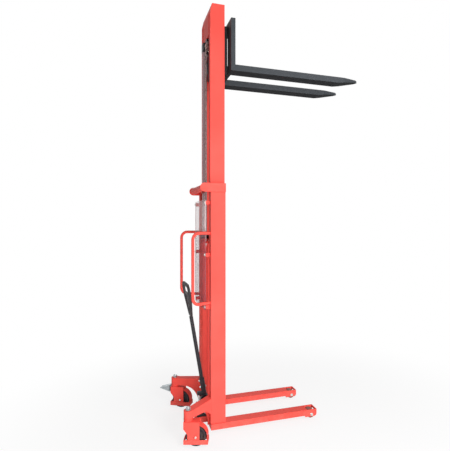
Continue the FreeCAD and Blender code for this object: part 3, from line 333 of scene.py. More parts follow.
def ripple(steps: Array) -> Array:
    """How thick a weld is after so many steps: 1 less a share that comes and goes by |cos|."""
    return 1.0 - WELD_RIPPLE + WELD_RIPPLE * np.abs(np.cos(math.pi * steps / WELD_WAVE))


def bead(start: Place, end: Place, normal: Place, radius: float) -> Surface:
    """A straight weld: a rippled bar that tapers at its ends."""
    start, end = np.asarray(start, float), np.asarray(end, float)
    length = float(np.linalg.norm(end - start))
    share = np.linspace(0.0, 1.0, max(BEAD_STEPS, int(length / WELD_STEP)))
    taper = np.sqrt(np.clip(1.0 - np.abs(2 * share - 1) ** WELD_TAPER, WELD_TIP, 1.0))
    path = start + share[:, None] * (end - start)
    return sweep(path, circle(WELD_SIDES, radius), normal, ripple(share * length / WELD_STEP) * taper)


def bead_ring(centre: Place, radius: float, axis: Axis, thickness: float) -> Surface:
    """A weld round a tube: a rippled ring."""
    count = max(RING_STEPS, int(math.tau * radius / WELD_STEP))
    ring = np.column_stack([circle(count, radius), np.zeros(count)])
    scale = ripple(np.arange(count))
    return sweep(ring, circle(WELD_SIDES, thickness), UP, scale, closed=True).put(centre, axis)


def coil(radius: float, wire: float, height: float, turns: int) -> Surface:
    """A spring up Z: x = radius cos a, y = radius sin a, and z rises evenly between two flat end turns."""
    share = np.linspace(0.0, 1.0, turns * COIL_STEPS + 1)
    rise = np.clip((share * turns - COIL_FLAT) / (turns - 2 * COIL_FLAT), 0.0, 1.0)
    angle = math.tau * turns * share
    path = np.stack([radius * np.cos(angle), radius * np.sin(angle), wire + (height - 2 * wire) * rise], 1)
    return sweep(path, circle(COIL_SIDES, wire), UP)


@dataclass(frozen=True)
class Fastener:
    """A hex head on a washer, along Z from the face that it clamps."""

    flats: float
    height: float
    washer: float
    washer_height: float = 0.0016
    dome: float = 0.0

    def surface(self) -> Surface:
        """Washer, hex with a chamfered top, and a dome where it has one; radii step by step up Z."""
        half, low, top = self.flats / 2, self.washer_height, self.washer_height + self.height
        rings = [(self.washer, 0.0, 0.0), (self.washer, low * WASHER_SIDE, 0.0)]
        rings += [(self.washer * WASHER_TOP, low, 0.0), (half, low, 1.0)]
        rings += [(half, top - half * HEX_CHAMFER, 1.0), (half, top, HEX_BLEND)]
        rings += [(half * FACE, top + half * FACE_RISE, 0.0)]
        if self.dome:
            angle = np.linspace(0.0, DOME_ANGLE, DOME_STEPS)
            rings += [(half * DOME * math.cos(a), top + self.dome * math.sin(a), 0.0) for a in angle]
        else:
            rings += [(half * FLAT_FACE, top + half * FLAT_RISE, 0.0)]
        return stack(np.array(rings), HEX, HEX_SEGMENTS)

    def stud(self, radius: float, length: float) -> Surface:
        """The fastener as a nut, with a threaded stud that goes on above it; the thread is a row of cones."""
        base = self.washer_height + self.height
        turns = max(THREAD_TURNS, int(length / THREAD_PITCH))
        heights = base + np.repeat(np.linspace(0.0, length, turns), 2)[1:]
        radii = np.tile([radius, radius * THREAD_ROOT], turns)[:-1]
        thread = stack(np.column_stack([radii, heights, 0 * radii]), HEX, THREAD_SEGMENTS)
        return joined([self.surface(), thread])

    def pair(self, reach: float) -> Surface:
        """Two heads that face away from each other along Y, each that far from the middle."""
        head = self.surface()
        return joined([head.put((0, reach, 0), Axis.Y), head.put((0, -reach, 0), Axis.RIGHT)])


# --- shader graphs


class Grain(Enum):
    """Kinds of noise: waves per metre, or per stretched metre, and octaves of finer noise on them."""

    BROAD = (2.6, 3.0)
    CLOUD = (9.0, 3.0)
    FLOW = (16.0, 4.0)
    PATCH = (24.0, 4.0)
    BLOTCH = (60.0, 4.0)
    GRIT = (210.0, 3.0)
    SPECK = (260.0, 2.0)
    PEEL = (430.0, 2.0)
    STREAK = (1.0, 4.0)
    LINE = (1.0, 3.0)


class Span(Enum):
    """Limits between which noise, a slope or an angle fades from 0 to 1."""

    EDGE = (0.015, 0.2)
    CHIP = (0.5, 0.62)
    STREAK = (0.54, 0.68)
    RUB = (0.4, 0.6)
    SETTLED = (0.34, 0.66)
    UNDERSIDE = (0.4, 0.9)
    MOTTLE = (0.32, 0.68)
    GRIME = (0.48, 0.66)
    BLOTCH = (0.3, 0.7)
    CLING = (0.46, 0.62)


class Wire:
    """One output of a node, with arithmetic that adds Math nodes."""

    def __init__(self, graph: Graph, socket: bpy.types.NodeSocket) -> None:
        """Wrap an output socket of a graph."""
        self.graph = graph
        self.socket = socket

    def _maths(self, operation: str, first: Value, second: Value) -> Wire:
        """A Math node on two values."""
        return self.graph.node("ShaderNodeMath", {"operation": operation}, {0: first, 1: second})["Value"]

    def __add__(self, other: Value) -> Wire:
        """Sum."""
        return self._maths("ADD", self, other)

    def __radd__(self, other: Value) -> Wire:
        """Sum, reflected."""
        return self._maths("ADD", other, self)

    def __sub__(self, other: Value) -> Wire:
        """Difference."""
        return self._maths("SUBTRACT", self, other)

    def __rsub__(self, other: Value) -> Wire:
        """Difference, reflected."""
        return self._maths("SUBTRACT", other, self)

    def __mul__(self, other: Value) -> Wire:
        """Product."""
        return self._maths("MULTIPLY", self, other)

    def __rmul__(self, other: Value) -> Wire:
        """Product, reflected."""
        return self._maths("MULTIPLY", other, self)

    def between(self, low: float, high: float) -> Wire:
        """0 below one value, 1 above another and smooth between them; falls where low is the higher one."""
        limits = {"From Min": min(low, high), "From Max": max(low, high)}
        limits |= {"To Min": float(low > high), "To Max": float(low <= high)}
        settings = {"interpolation_type": "SMOOTHSTEP"}
        return self.graph.node("ShaderNodeMapRange", settings, {"Value": self} | limits)["Result"]

    def over(self, span: Span) -> Wire:
        """0 below a span, 1 above it and smooth over it."""
        return self.between(*span.value)


Value = Union[float, Wire]
Entry = Union[float, Sequence[float], Wire]
Inputs = Mapping[Union[str, int], Entry]


class Graph:
    """The node graph of a material or of the world."""

    def __init__(self, owner: Union[bpy.types.Material, bpy.types.World]) -> None:
        """Empty the owner's graph."""
        owner.use_nodes = True
        self.owner = owner
        self.tree = owner.node_tree
        self.tree.nodes.clear()

    def node(self, kind: str, settings: Mapping[str, object], inputs: Inputs) -> dict[str, Wire]:
        """Add a node.

        Args:
            kind: The node's type.
            settings: Its settings, set first.
            inputs: Values or wires for its sockets, by identifier, name or number.

        Returns:
            Its outputs by identifier and name.
        """
        made = self.tree.nodes.new(kind)
        for key, value in settings.items():
            setattr(made, key, value)
        for key, value in inputs.items():
            found = made.inputs[key] if isinstance(key, int) else self._find(made.inputs, key)
            if isinstance(value, Wire):
                self.tree.links.new(value.socket, found)
            else:
                found.default_value = value
        named = {s.name: Wire(self, s) for s in reversed(made.outputs)}
        return named | {s.identifier: Wire(self, s) for s in made.outputs}

    @staticmethod
    def _find(sockets: bpy.types.NodeInputs, key: str) -> bpy.types.NodeSocket:
        """The socket with that identifier, or else with that name."""
        return next((s for s in sockets if s.identifier == key), None) or sockets[key]

    def place(self) -> Wire:
        """The point in the stacker's frame, in metres."""
        return self.node("ShaderNodeTexCoord", {}, {})["Object"]

    def stretched(self, vector: Wire, factors: Sequence[float]) -> Wire:
        """A vector times a factor on each axis."""
        return self.node("ShaderNodeVectorMath", {"operation": "MULTIPLY"}, {0: vector, 1: factors})["Vector"]

    def noise(self, vector: Wire, grain: Grain) -> Wire:
        """Smooth noise from 0 to 1, most of it between 0.3 and 0.7."""
        scale, detail = grain.value
        inputs = {"Vector": vector, "Scale": scale, "Detail": detail, "Roughness": NOISE_ROUGHNESS}
        return self.node("ShaderNodeTexNoise", {}, inputs)["Fac"]

    def cells(self, vector: Wire, scale: float) -> Wire:
        """Distance to the nearest of scattered points, as in cast skins and pitting."""
        return self.node("ShaderNodeTexVoronoi", {}, {"Vector": vector, "Scale": scale})["Distance"]

    def height(self, vector: Wire) -> Wire:
        """The height of a point above the floor."""
        return self.node("ShaderNodeSeparateXYZ", {}, {"Vector": vector})["Z"]

    def mix(self, share: Value, first: Entry, second: Entry) -> Wire:
        """A colour between two others."""
        inputs = {"Factor_Float": share, "A_Color": first, "B_Color": second}
        return self.node("ShaderNodeMix", {"data_type": "RGBA"}, inputs)["Result_Color"]

    def facing(self, direction: Entry) -> Wire:
        """How far the plain surface faces a direction: 1 straight at it, -1 away from it."""
        plain = self.node("ShaderNodeNewGeometry", {}, {})["Normal"]
        inputs = {0: plain, 1: direction}
        return self.node("ShaderNodeVectorMath", {"operation": "DOT_PRODUCT"}, inputs)["Value"]

    def bevel(self, radius: float) -> Wire:
        """The surface's normal, rounded over its edges."""
        return self.node("ShaderNodeBevel", {"samples": BEVEL_SAMPLES}, {"Radius": radius})["Normal"]

    def edges(self, rounded_normal: Wire) -> Wire:
        """1 on edges and 0 on flats, from how far the rounded normal leaves the plain one."""
        return (1.0 - self.facing(rounded_normal)).over(Span.EDGE)

    def bump(self, height: Wire, strength: float, distance: float, normal: Wire) -> Wire:
        """A normal tilted by a height."""
        inputs = {"Height": height, "Strength": strength, "Distance": distance, "Normal": normal}
        return self.node("ShaderNodeBump", {}, inputs)["Normal"]

    def seen(self) -> Wire:
        """1 to the eye and in reflections and refractions, 0 to light that falls on the stacker."""
        path = self.node("ShaderNodeLightPath", {}, {})
        return path["Is Camera Ray"] + path["Is Glossy Ray"] + path["Is Transmission Ray"]

    def finish(self, inputs: Inputs) -> bpy.types.Material:
        """End a material in a principled surface with those inputs."""
        surface = self.node("ShaderNodeBsdfPrincipled", {}, inputs)["BSDF"]
        self.node("ShaderNodeOutputMaterial", {}, {"Surface": surface})
        return self.owner


# --- finishes


def srgb(red: float, green: float, blue: float) -> Colour:
    """A colour in linear light from its 0 to 255 display values."""
    lit = [((c / 255 + 0.055) / 1.055) ** 2.4 if c > 10 else c / 255 / 12.92 for c in (red, green, blue)]
    return (lit[0], lit[1], lit[2], 1.0)


# Floor dust, in metres up from the floor, and the blend and raggedness of the line between two tones, in metres to
# each side of that line.
DUST, DUST_TOP = srgb(150, 128, 116), 0.11
TONE_LINE_BLEND, TONE_LINE_RAGGED = 0.06, 0.08
STREAKS, DOWNWARDS = (5.0, 130.0, 130.0), (0.0, 0.0, -1.0)
NOISE_ROUGHNESS, BEVEL_SAMPLES = 0.55, 6
# Depths of the finest relief and radii of softened edges, in metres.
PEEL_STRENGTH, PEEL_DEPTH, LINE_DEPTH, SKIN_DEPTH = 0.12, 0.0006, 0.0004, 0.0005
METAL_EDGE, MOULDED_EDGE = 0.0006, 0.0012


@dataclass(frozen=True)
class Enamel:
    """Sprayed paint on steel: soft mottling, orange peel, chipped edges, dry undersides and floor dust, and where
    set, painted shade on undersides and a pale tone above a height that is painted glare.
    """

    name: str
    colour: Colour
    shade: Colour
    chip: Colour
    roughness: float
    gloss: float
    wear: float = 0.5
    dust: float = 0.3
    scuff: float = 0.0
    dry_below: float = 0.1
    edge: float = 0.0022
    # A line between two tones and darkened undersides: the pale colour kept above the line is painted glare on the
    # guard wire, and the dark tone on undersides is painted shade.
    tone_line: float = 0.0
    underside_shade: float = 0.0
    shade_and_low_tone: Colour = srgb(24, 24, 26)

    def material(self) -> bpy.types.Material:
        """The material, with chips and scuffs where noise meets edges and long wear, and painted shade on
        undersides where set.
        """
        g = Graph(bpy.data.materials.new(self.name))
        place = g.place()
        broad = g.noise(place, Grain.BROAD)
        patch = g.noise(place, Grain.PATCH)
        grit = g.noise(place, Grain.GRIT)
        soft = g.bevel(self.edge)
        worn = g.edges(soft) * (patch * 0.6 + grit * 0.4).over(Span.CHIP) * self.wear
        if self.scuff:
            streak = g.noise(g.stretched(place, STREAKS), Grain.STREAK)
            rubbed = streak.over(Span.STREAK) * broad.over(Span.RUB) * self.scuff
            worn = worn + rubbed * (1.0 - worn)
        low = g.height(place).between(DUST_TOP, 0.0) * patch.over(Span.SETTLED) * self.dust
        under = g.facing(DOWNWARDS).over(Span.UNDERSIDE)
        mottled = g.mix(broad.over(Span.MOTTLE) * 0.55 + (patch - 0.5) * 0.25, self.colour, self.shade)
        dusty = g.mix(low, mottled, DUST)
        tint = g.mix(worn, dusty, self.chip)
        # Down-facing faces darken towards the dark tone: painted shade on undersides.
        if self.underside_shade:
            tint = g.mix(under * self.underside_shade, tint, self.shade_and_low_tone)
        # Below a ragged height the colour turns to the low tone; the pale colour kept above it is painted glare.
        if self.tone_line:
            ragged = g.height(place) + (patch - 0.5) * TONE_LINE_RAGGED
            below_line = ragged.between(self.tone_line + TONE_LINE_BLEND, self.tone_line - TONE_LINE_BLEND)
            tint = g.mix(below_line, tint, self.shade_and_low_tone)
        rough = (patch - 0.5) * 0.16 + worn * 0.25 + low * 0.4 + under * self.dry_below + self.roughness
        peel = g.noise(place, Grain.PEEL) * 0.7 + grit * 0.3 - worn * 0.5
        normal = g.bump(peel, PEEL_STRENGTH, PEEL_DEPTH, soft)
        inputs = {"Base Color": tint, "Roughness": rough, "Normal": normal, "Specular IOR Level": self.gloss}
        return g.finish(inputs)


@dataclass(frozen=True)
class Metal:
    """Bare or plated metal: blotches, fine tool lines along one pair of axes, and grime in patches."""

    name: str
    colour: Colour
    shade: Colour
    roughness: float
    lines: tuple[float, float, float] = (900.0, 900.0, 900.0)
    line_depth: float = 0.08
    grime: float = 0.25
    grime_colour: Colour = (0.03, 0.026, 0.022, 1.0)

    def material(self) -> bpy.types.Material:
        """The material, rougher and darker where grime lies."""
        g = Graph(bpy.data.materials.new(self.name))
        place = g.place()
        blotch = g.noise(place, Grain.BLOTCH)
        broad = g.noise(place, Grain.CLOUD)
        line = g.noise(g.stretched(place, self.lines), Grain.LINE)
        dirty = (blotch * 0.5 + broad * 0.5).over(Span.GRIME) * self.grime
        plate = g.mix(blotch.over(Span.BLOTCH) * 0.6 + (line - 0.5) * 0.4, self.colour, self.shade)
        tint = g.mix(dirty, plate, self.grime_colour)
        rough = (blotch - 0.5) * 0.2 + (line - 0.5) * 0.2 + dirty * 0.4 + self.roughness
        normal = g.bump(line, self.line_depth, LINE_DEPTH, g.bevel(METAL_EDGE))
        return g.finish({"Base Color": tint, "Roughness": rough, "Metallic": 1.0, "Normal": normal})


@dataclass(frozen=True)
class Moulding:
    """Moulded plastic, nylon or polyurethane: flow marks, a fine cast skin and dust that clings to it."""

    name: str
    colour: Colour
    shade: Colour
    roughness: float
    skin: float = 340.0
    skin_depth: float = 0.1
    dust: float = 0.3
    gloss: float = 0.35

    def material(self) -> bpy.types.Material:
        """The material, paler and duller where dust lies."""
        g = Graph(bpy.data.materials.new(self.name))
        place = g.place()
        flow = g.noise(place, Grain.FLOW)
        speck = g.noise(place, Grain.SPECK)
        clinging = (flow * 0.55 + speck * 0.45).over(Span.CLING) * self.dust
        body = g.mix(flow.over(Span.BLOTCH), self.colour, self.shade)
        tint = g.mix(clinging, body, DUST)
        rough = (speck - 0.5) * 0.2 + clinging * 0.3 + self.roughness
        cast = g.cells(place, self.skin) + speck * 0.4
        normal = g.bump(cast, self.skin_depth, SKIN_DEPTH, g.bevel(MOULDED_EDGE))
        inputs = {"Base Color": tint, "Roughness": rough, "Normal": normal, "Specular IOR Level": self.gloss}
        return g.finish(inputs)


Finish = Union[Enamel, Metal, Moulding]
UPRIGHT_LINES = (60.0, 60.0, 1500.0)
AXLE_LINES = (40.0, 1400.0, 40.0)
# Base colour pinker than the paint itself: a share of painted glare.
RED_ENAMEL = Enamel(
    "red_enamel", srgb(238, 89, 80), srgb(229, 75, 67), srgb(190, 96, 84), 0.4, 0.02, wear=0.3
)
# Guard wire pale above 1.41 m and mauve below: the pale upper wire is painted glare.
GUARD_WIRE = Enamel(
    "guard_wire", srgb(232, 220, 220), srgb(214, 200, 202), srgb(240, 236, 236), 0.4, 0.3,
    edge=0.0003, tone_line=1.41, shade_and_low_tone=srgb(146, 80, 90),
)
# Lift rod darker than chrome, with a pink tint that is painted reflection of the red mast.
DARK_PINK_ROD = Metal("dark_pink_rod", srgb(140, 116, 118), srgb(124, 102, 105), 0.26, UPRIGHT_LINES, 0.04, 0.14)
BLACK_PAINT = Enamel("black_paint", srgb(40, 39, 43), srgb(31, 30, 34), srgb(104, 102, 100), 0.46, 0.25)
# Fork undersides darken almost to black: painted shade.
FORK_PAINT = Enamel(
    "fork_paint", srgb(62, 65, 69), srgb(52, 55, 58), srgb(108, 108, 106), 0.42, 0.1,
    scuff=0.1, dry_below=0.4, underside_shade=0.85,
)
DULL_ZINC = Metal("dull_zinc", srgb(178, 184, 186), srgb(148, 154, 158), 0.4, grime=0.2)
BRIGHT_STEEL = Metal("bright_steel", srgb(222, 218, 212), srgb(190, 184, 178), 0.26, AXLE_LINES, grime=0.3)
TURNED_STEEL = Metal("turned_steel", srgb(186, 186, 186), srgb(150, 150, 150), 0.34, AXLE_LINES, grime=0.3)
HARD_CHROME = Metal("hard_chrome", srgb(220, 222, 224), srgb(200, 202, 206), 0.14, UPRIGHT_LINES, 0.03, 0.1)
BRIGHT_ZINC = Metal("bright_zinc", srgb(222, 222, 216), srgb(194, 196, 198), 0.34, line_depth=0.05, grime=0.1)
OILED_CHAIN = Metal("oiled_chain", srgb(196, 174, 168), srgb(150, 130, 124), 0.36, grime=0.3)
MOULDED_GRIP = Moulding("moulded_grip", srgb(42, 40, 44), srgb(32, 31, 35), 0.48, 520.0, 0.16, 0.1)
ROLLER_TREAD = Moulding("roller_polyurethane", srgb(142, 78, 66), srgb(120, 62, 54), 0.6, 180.0, 0.2, 0.55)
FINISHES: dict[Slot, Finish] = {
    Slot.RED: RED_ENAMEL,
    Slot.BLACK: BLACK_PAINT,
    Slot.STEEL: TURNED_STEEL,
    Slot.CHROME: HARD_CHROME,
    Slot.ZINC: BRIGHT_ZINC,
    Slot.CHAIN: OILED_CHAIN,
    Slot.NYLON: Moulding("cast_nylon", srgb(232, 226, 210), srgb(220, 212, 194), 0.45, dust=0.15),
    Slot.WHEEL: Moulding("wheel_nylon", srgb(46, 40, 46), srgb(34, 30, 35), 0.5, dust=0.25),
    Slot.ROLLER: ROLLER_TREAD,
    Slot.GRIP: MOULDED_GRIP,
}
SPECIAL: dict[str, Finish] = {
    "fork_": FORK_PAINT,
    "carriage_plate": FORK_PAINT,
    "carriage_bar": FORK_PAINT,
    "lift_rod": DARK_PINK_ROD,
    "chain_sheave": BRIGHT_STEEL,
    "caster_axle": RED_ENAMEL,
    "release_trigger": MOULDED_GRIP,
    "brake_pedal": DULL_ZINC,
}


class Wardrobe:
    """Makes each finish once and puts it on objects."""

    def __init__(self) -> None:
        """Start with nothing made."""
        self.made: dict[str, bpy.types.Material] = {}

    def dress(self, thing: bpy.types.Object, finish: Finish) -> None:
        """Put a finish on an object, in place of what it has."""
        if finish.name not in self.made:
            self.made[finish.name] = finish.material()
        thing.data.materials.clear()
        thing.data.materials.append(self.made[finish.name])

    def dress_nodes(self) -> None:
        """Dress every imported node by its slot, but a few by their names."""
        for row in frame["record"]["subparts"]:
            name = row["node"]
            special = next((f for start, f in SPECIAL.items() if name.startswith(start)), None)
            self.dress(frame["nodes"][name], special or FINISHES[Slot(row["material_slot"])])

    def piece(
        self, name: str, surface: Surface, slot: Slot, body: Optional[str], finish: Optional[Finish] = None
    ) -> bpy.types.Object:
        """Make a piece from a surface, dress it and let it ride on a body.

        Args:
            name: The piece's name.
            surface: Its shape in the stacker's frame.
            slot: The slot that it counts to.
            body: The body that it rides on, or nothing to leave it on no body.
            finish: Its finish, if not the slot's own.

        Returns:
            The new object.
        """
        mesh = bpy.data.meshes.new(name)
        mesh.from_pydata(surface.points.tolist(), [], [row for f in surface.faces for row in f.tolist()])
        mesh.polygons.foreach_set("use_smooth", np.ones(len(mesh.polygons), bool))
        mesh.set_sharp_from_angle(angle=SHARP_EDGE)
        thing = bpy.data.objects.new(name, mesh)
        bpy.context.scene.collection.objects.link(thing)
        self.dress(thing, finish or FINISHES[slot])
        if body:
            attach(thing, body)
        LOG.info("%s: %d faces", name, len(mesh.polygons))
        return thing


def corners_of(node: str) -> tuple[Array, Array]:
    """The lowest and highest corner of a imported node."""
    low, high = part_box(node)
    return np.array(low), np.array(high)


def joint_place(name: str) -> Array:
    """A point on a joint's axis."""
    return np.array(JOINTS[name]["pos_m"], float)


# --- sub-assemblies


@dataclass
class MeshGuard:
    """The woven wire guard, the wire round its edge, and the bolts that hold it to the brackets."""

    pitch: float = 0.0115
    wire: float = 0.0005
    edge: float = 0.0017
    corner: float = 0.014
    head: float = 0.008
    head_gap: float = 0.0004
    bolt_rows: int = 3
    wave_steps: int = 3
    wire_sides: int = 5
    edge_sides: int = 8
    bolt: Fastener = Fastener(0.0165, 0.006, 0.0115)

    def woven(self, low: Array, high: Array, along: int) -> Surface:
        """All wires one way: x = middle + wire cos(pi t / pitch + phase), every second one half a wave on.

        Args:
            low: Lowest corner of the panel.
            high: Highest corner of the panel.
            along: The axis that the wires run along, 1 or 2.

        Returns:
            The wires, each a tube of few sides.
        """
        across = 3 - along
        count = int(round((high[across] - low[across]) / self.pitch))
        offsets = low[across] + (np.arange(count - 1) + 1) * (high[across] - low[across]) / count
        waves = int(round((high[along] - low[along]) / self.pitch))
        t = np.linspace(0.0, 1.0, waves * self.wave_steps + 1)
        path = np.zeros((len(t), 3))
        path[:, 0] = (low[0] + high[0]) / 2 + self.wire * np.cos(math.pi * (waves * t + along))
        path[:, along] = low[along] + t * (high[along] - low[along])
        normal = np.zeros(3)
        normal[across] = 1.0
        mirrored = path * (-1, 1, 1) + ((low[0] + high[0]), 0, 0)
        wires = []
        for first, line in enumerate((path, mirrored)):
            places = np.zeros((len(offsets[first::2]), 3))
            places[:, across] = offsets[first::2]
            wires.append(sweep(line, circle(self.wire_sides, self.wire), normal).arrayed(places))
        return joined(wires)

    def build(self, wardrobe: Wardrobe) -> None:
        """Weave the panel, run the edge wire round it and set the bolts."""
        low, high = corners_of("mesh_guard")
        inset = np.array([0.0, self.edge, self.edge])
        ends = np.array([low + inset, high - inset])
        turns = ((0, 0), (1, 0), (1, 1), (0, 1))
        loop = np.array([[ends[:, 0].mean(), ends[a, 1], ends[b, 2]] for a, b in turns])
        path = rounded(loop, self.corner, LONG_FILLET)
        edge = sweep(path, circle(self.edge_sides, self.edge), AHEAD, closed=True)
        wires = [self.woven(*ends, along) for along in (1, 2)]
        panel = wardrobe.piece("guard_mesh", joined(wires + [edge]), Slot.RED, "chassis", GUARD_WIRE)
        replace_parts(panel, "mesh_guard")
        first, last = corners_of("guard_bolts")
        lateral = (last[1] - first[1]) / 2 - self.head
        rows = np.linspace(first[2] + self.head, last[2] - self.head, self.bolt_rows)
        places = np.array([[low[0] + self.head_gap, y, z] for z in rows for y in (-lateral, lateral)])
        bolts = self.bolt.surface().put(ORIGIN, Axis.BACK).arrayed(places)
        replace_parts(wardrobe.piece("guard_hex_bolts", bolts, Slot.ZINC, "chassis"), "guard_bolts")


@dataclass
class LiftChains:
    """Two leaf chains from their anchors over the sheaves to the carriage, their studs and axle nuts."""

    radius: float = 0.035
    plate_height: float = 0.0082
    plate: float = 0.0021
    width: float = 0.013
    wrap_links: int = 12
    front_links: int = 8
    lowered_share: float = 0.1374
    waist_share: float = 0.16
    waist_power: int = 3
    overhang_share: float = 0.42
    foot_share: float = 0.4
    clevis_share: float = 0.3
    plate_points: int = 14
    pin_segments: int = 8
    rivet_share: float = 0.9
    layer_shares: tuple[float, float] = (2.15, 1.08)
    rivet: tuple[float, float] = (0.0016, 0.0021)
    stud: tuple[float, float] = (0.004, 0.014)
    anchor: Fastener = Fastener(0.013, 0.0065, 0.0088)
    axle_nut: Fastener = Fastener(0.019, 0.005, 0.0135)

    def link(self, pitch: float) -> Surface:
        """One oval plate from a pin to the next along Z, its waist drawn in, and its thickness along Y."""
        angle = angles(self.plate_points)
        waist = 1.0 - self.waist_share * np.abs(np.sin(angle)) ** self.waist_power
        along = pitch / 2 + np.cos(angle) * (pitch / 2 + self.plate_height * self.overhang_share)
        across = np.sin(angle) * waist * self.plate_height / 2
        return slab(np.column_stack([across, along]), self.plate)

    def pin(self) -> Surface:
        """One riveted pin along Y, across the plates."""
        half, (tip, body) = self.width / 2, self.rivet
        neck = half * self.rivet_share
        rings = np.array([(tip, -half, 0), (body, -neck, 0), (body, neck, 0), (tip, half, 0)])
        return stack(rings, HEX, self.pin_segments).put(ORIGIN, Axis.Y)

    def strand(self, pins: Array, sides: Array) -> tuple[Surface, Surface]:
        """Plates and pins along a line of pins in the XZ plane; odd links have three plates, even ones two.

        Args:
            pins: Places of the pins, in order.
            sides: Where each chain lies beside them.

        Returns:
            The plates of all chains, and their pins.
        """
        step = np.diff(pins, axis=0)
        pitch = float(np.linalg.norm(step, axis=1).mean())
        up = step / np.linalg.norm(step, axis=1, keepdims=True)
        side = np.broadcast_to(LEFT, up.shape)
        frames = np.stack([np.cross(side, up), side, up], 1)
        outer, inner = np.array(self.layer_shares) * self.plate
        layers = (np.array([-outer, 0.0, outer]), np.array([-inner, inner]))
        plates = []
        for first, spread in enumerate(layers):
            shifts = np.zeros((len(spread), 1, 3))
            shifts[:, 0, 1] = spread
            places = (pins[:-1][first::2][None] + shifts).reshape(-1, 3)
            plates.append(self.link(pitch).arrayed(places, np.tile(frames[first::2], (len(spread), 1, 1))))
        return joined(plates).arrayed(sides), self.pin().arrayed(pins).arrayed(sides)

    def build(self, wardrobe: Wardrobe) -> None:
        """Hang the rear strands, lay the chains over the sheaves, hang the front strands and set the nuts."""
        low, high = corners_of("chain_sheave_left")
        centre, sides = (low + high) / 2, at_sides((low[1] + high[1]) / 2)
        bottom, clevis = corners_of("chain_rear")[0][2], corners_of("chain_front")[0][2]
        angle = np.linspace(math.pi, 0.0, self.wrap_links + 1)
        rim = centre + self.radius * np.stack([np.cos(angle), 0 * angle, np.sin(angle)], 1)
        rim[:, 1] = 0.0
        links = int(round((centre[2] - bottom) / float(np.linalg.norm(rim[1] - rim[0]))))
        rear = np.repeat(rim[:1], links + links % 2 + 1, 0)
        rear[:, 2] = np.linspace(bottom + self.plate_height * self.foot_share, centre[2], len(rear))
        front = np.repeat(rim[-1:], self.front_links + 1, 0)
        front[:, 2] = np.linspace(centre[2], clevis + self.plate_height * self.clevis_share, len(front))
        looks = (("leaf_chain", Slot.CHAIN), ("chain_pins", Slot.STEEL))
        for (name, slot), shape in zip(looks, self.strand(rear, sides)):
            strand = wardrobe.piece(f"{name}_rear", shape, slot, "chassis")
            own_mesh(strand)
        for (name, slot), shape in zip(looks, self.strand(rim, sides)):
            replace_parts(wardrobe.piece(f"{name}_wrap", shape, slot, "inner_mast"), "chain_rear")
        for (name, slot), shape in zip(looks, self.strand(front, sides)):
            strand = wardrobe.piece(f"{name}_front", shape, slot, None)
            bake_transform(strand)
            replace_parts(strand, "chain_front")
        self.nuts(wardrobe, sides)

    def nuts(self, wardrobe: Wardrobe, sides: Array) -> None:
        """Studs with nuts under both anchors and the clevis, and nuts on the ends of the sheaves' axle."""
        stud = self.anchor.stud(*self.stud).put(ORIGIN, Axis.DOWN)
        for name, body in (("chain_anchors", "chassis"), ("chain_clevis", "carriage")):
            low, high = corners_of(name)
            places = sides + ((low[0] + high[0]) / 2, 0.0, low[2])
            wardrobe.piece(f"{name}_studs", stud.arrayed(places), Slot.ZINC, body)
        low, high = corners_of("sheave_axle")
        caps = self.axle_nut.pair((high[1] - low[1]) / 2).put((low + high) / 2)
        wardrobe.piece("sheave_axle_nuts", caps, Slot.ZINC, "inner_mast")


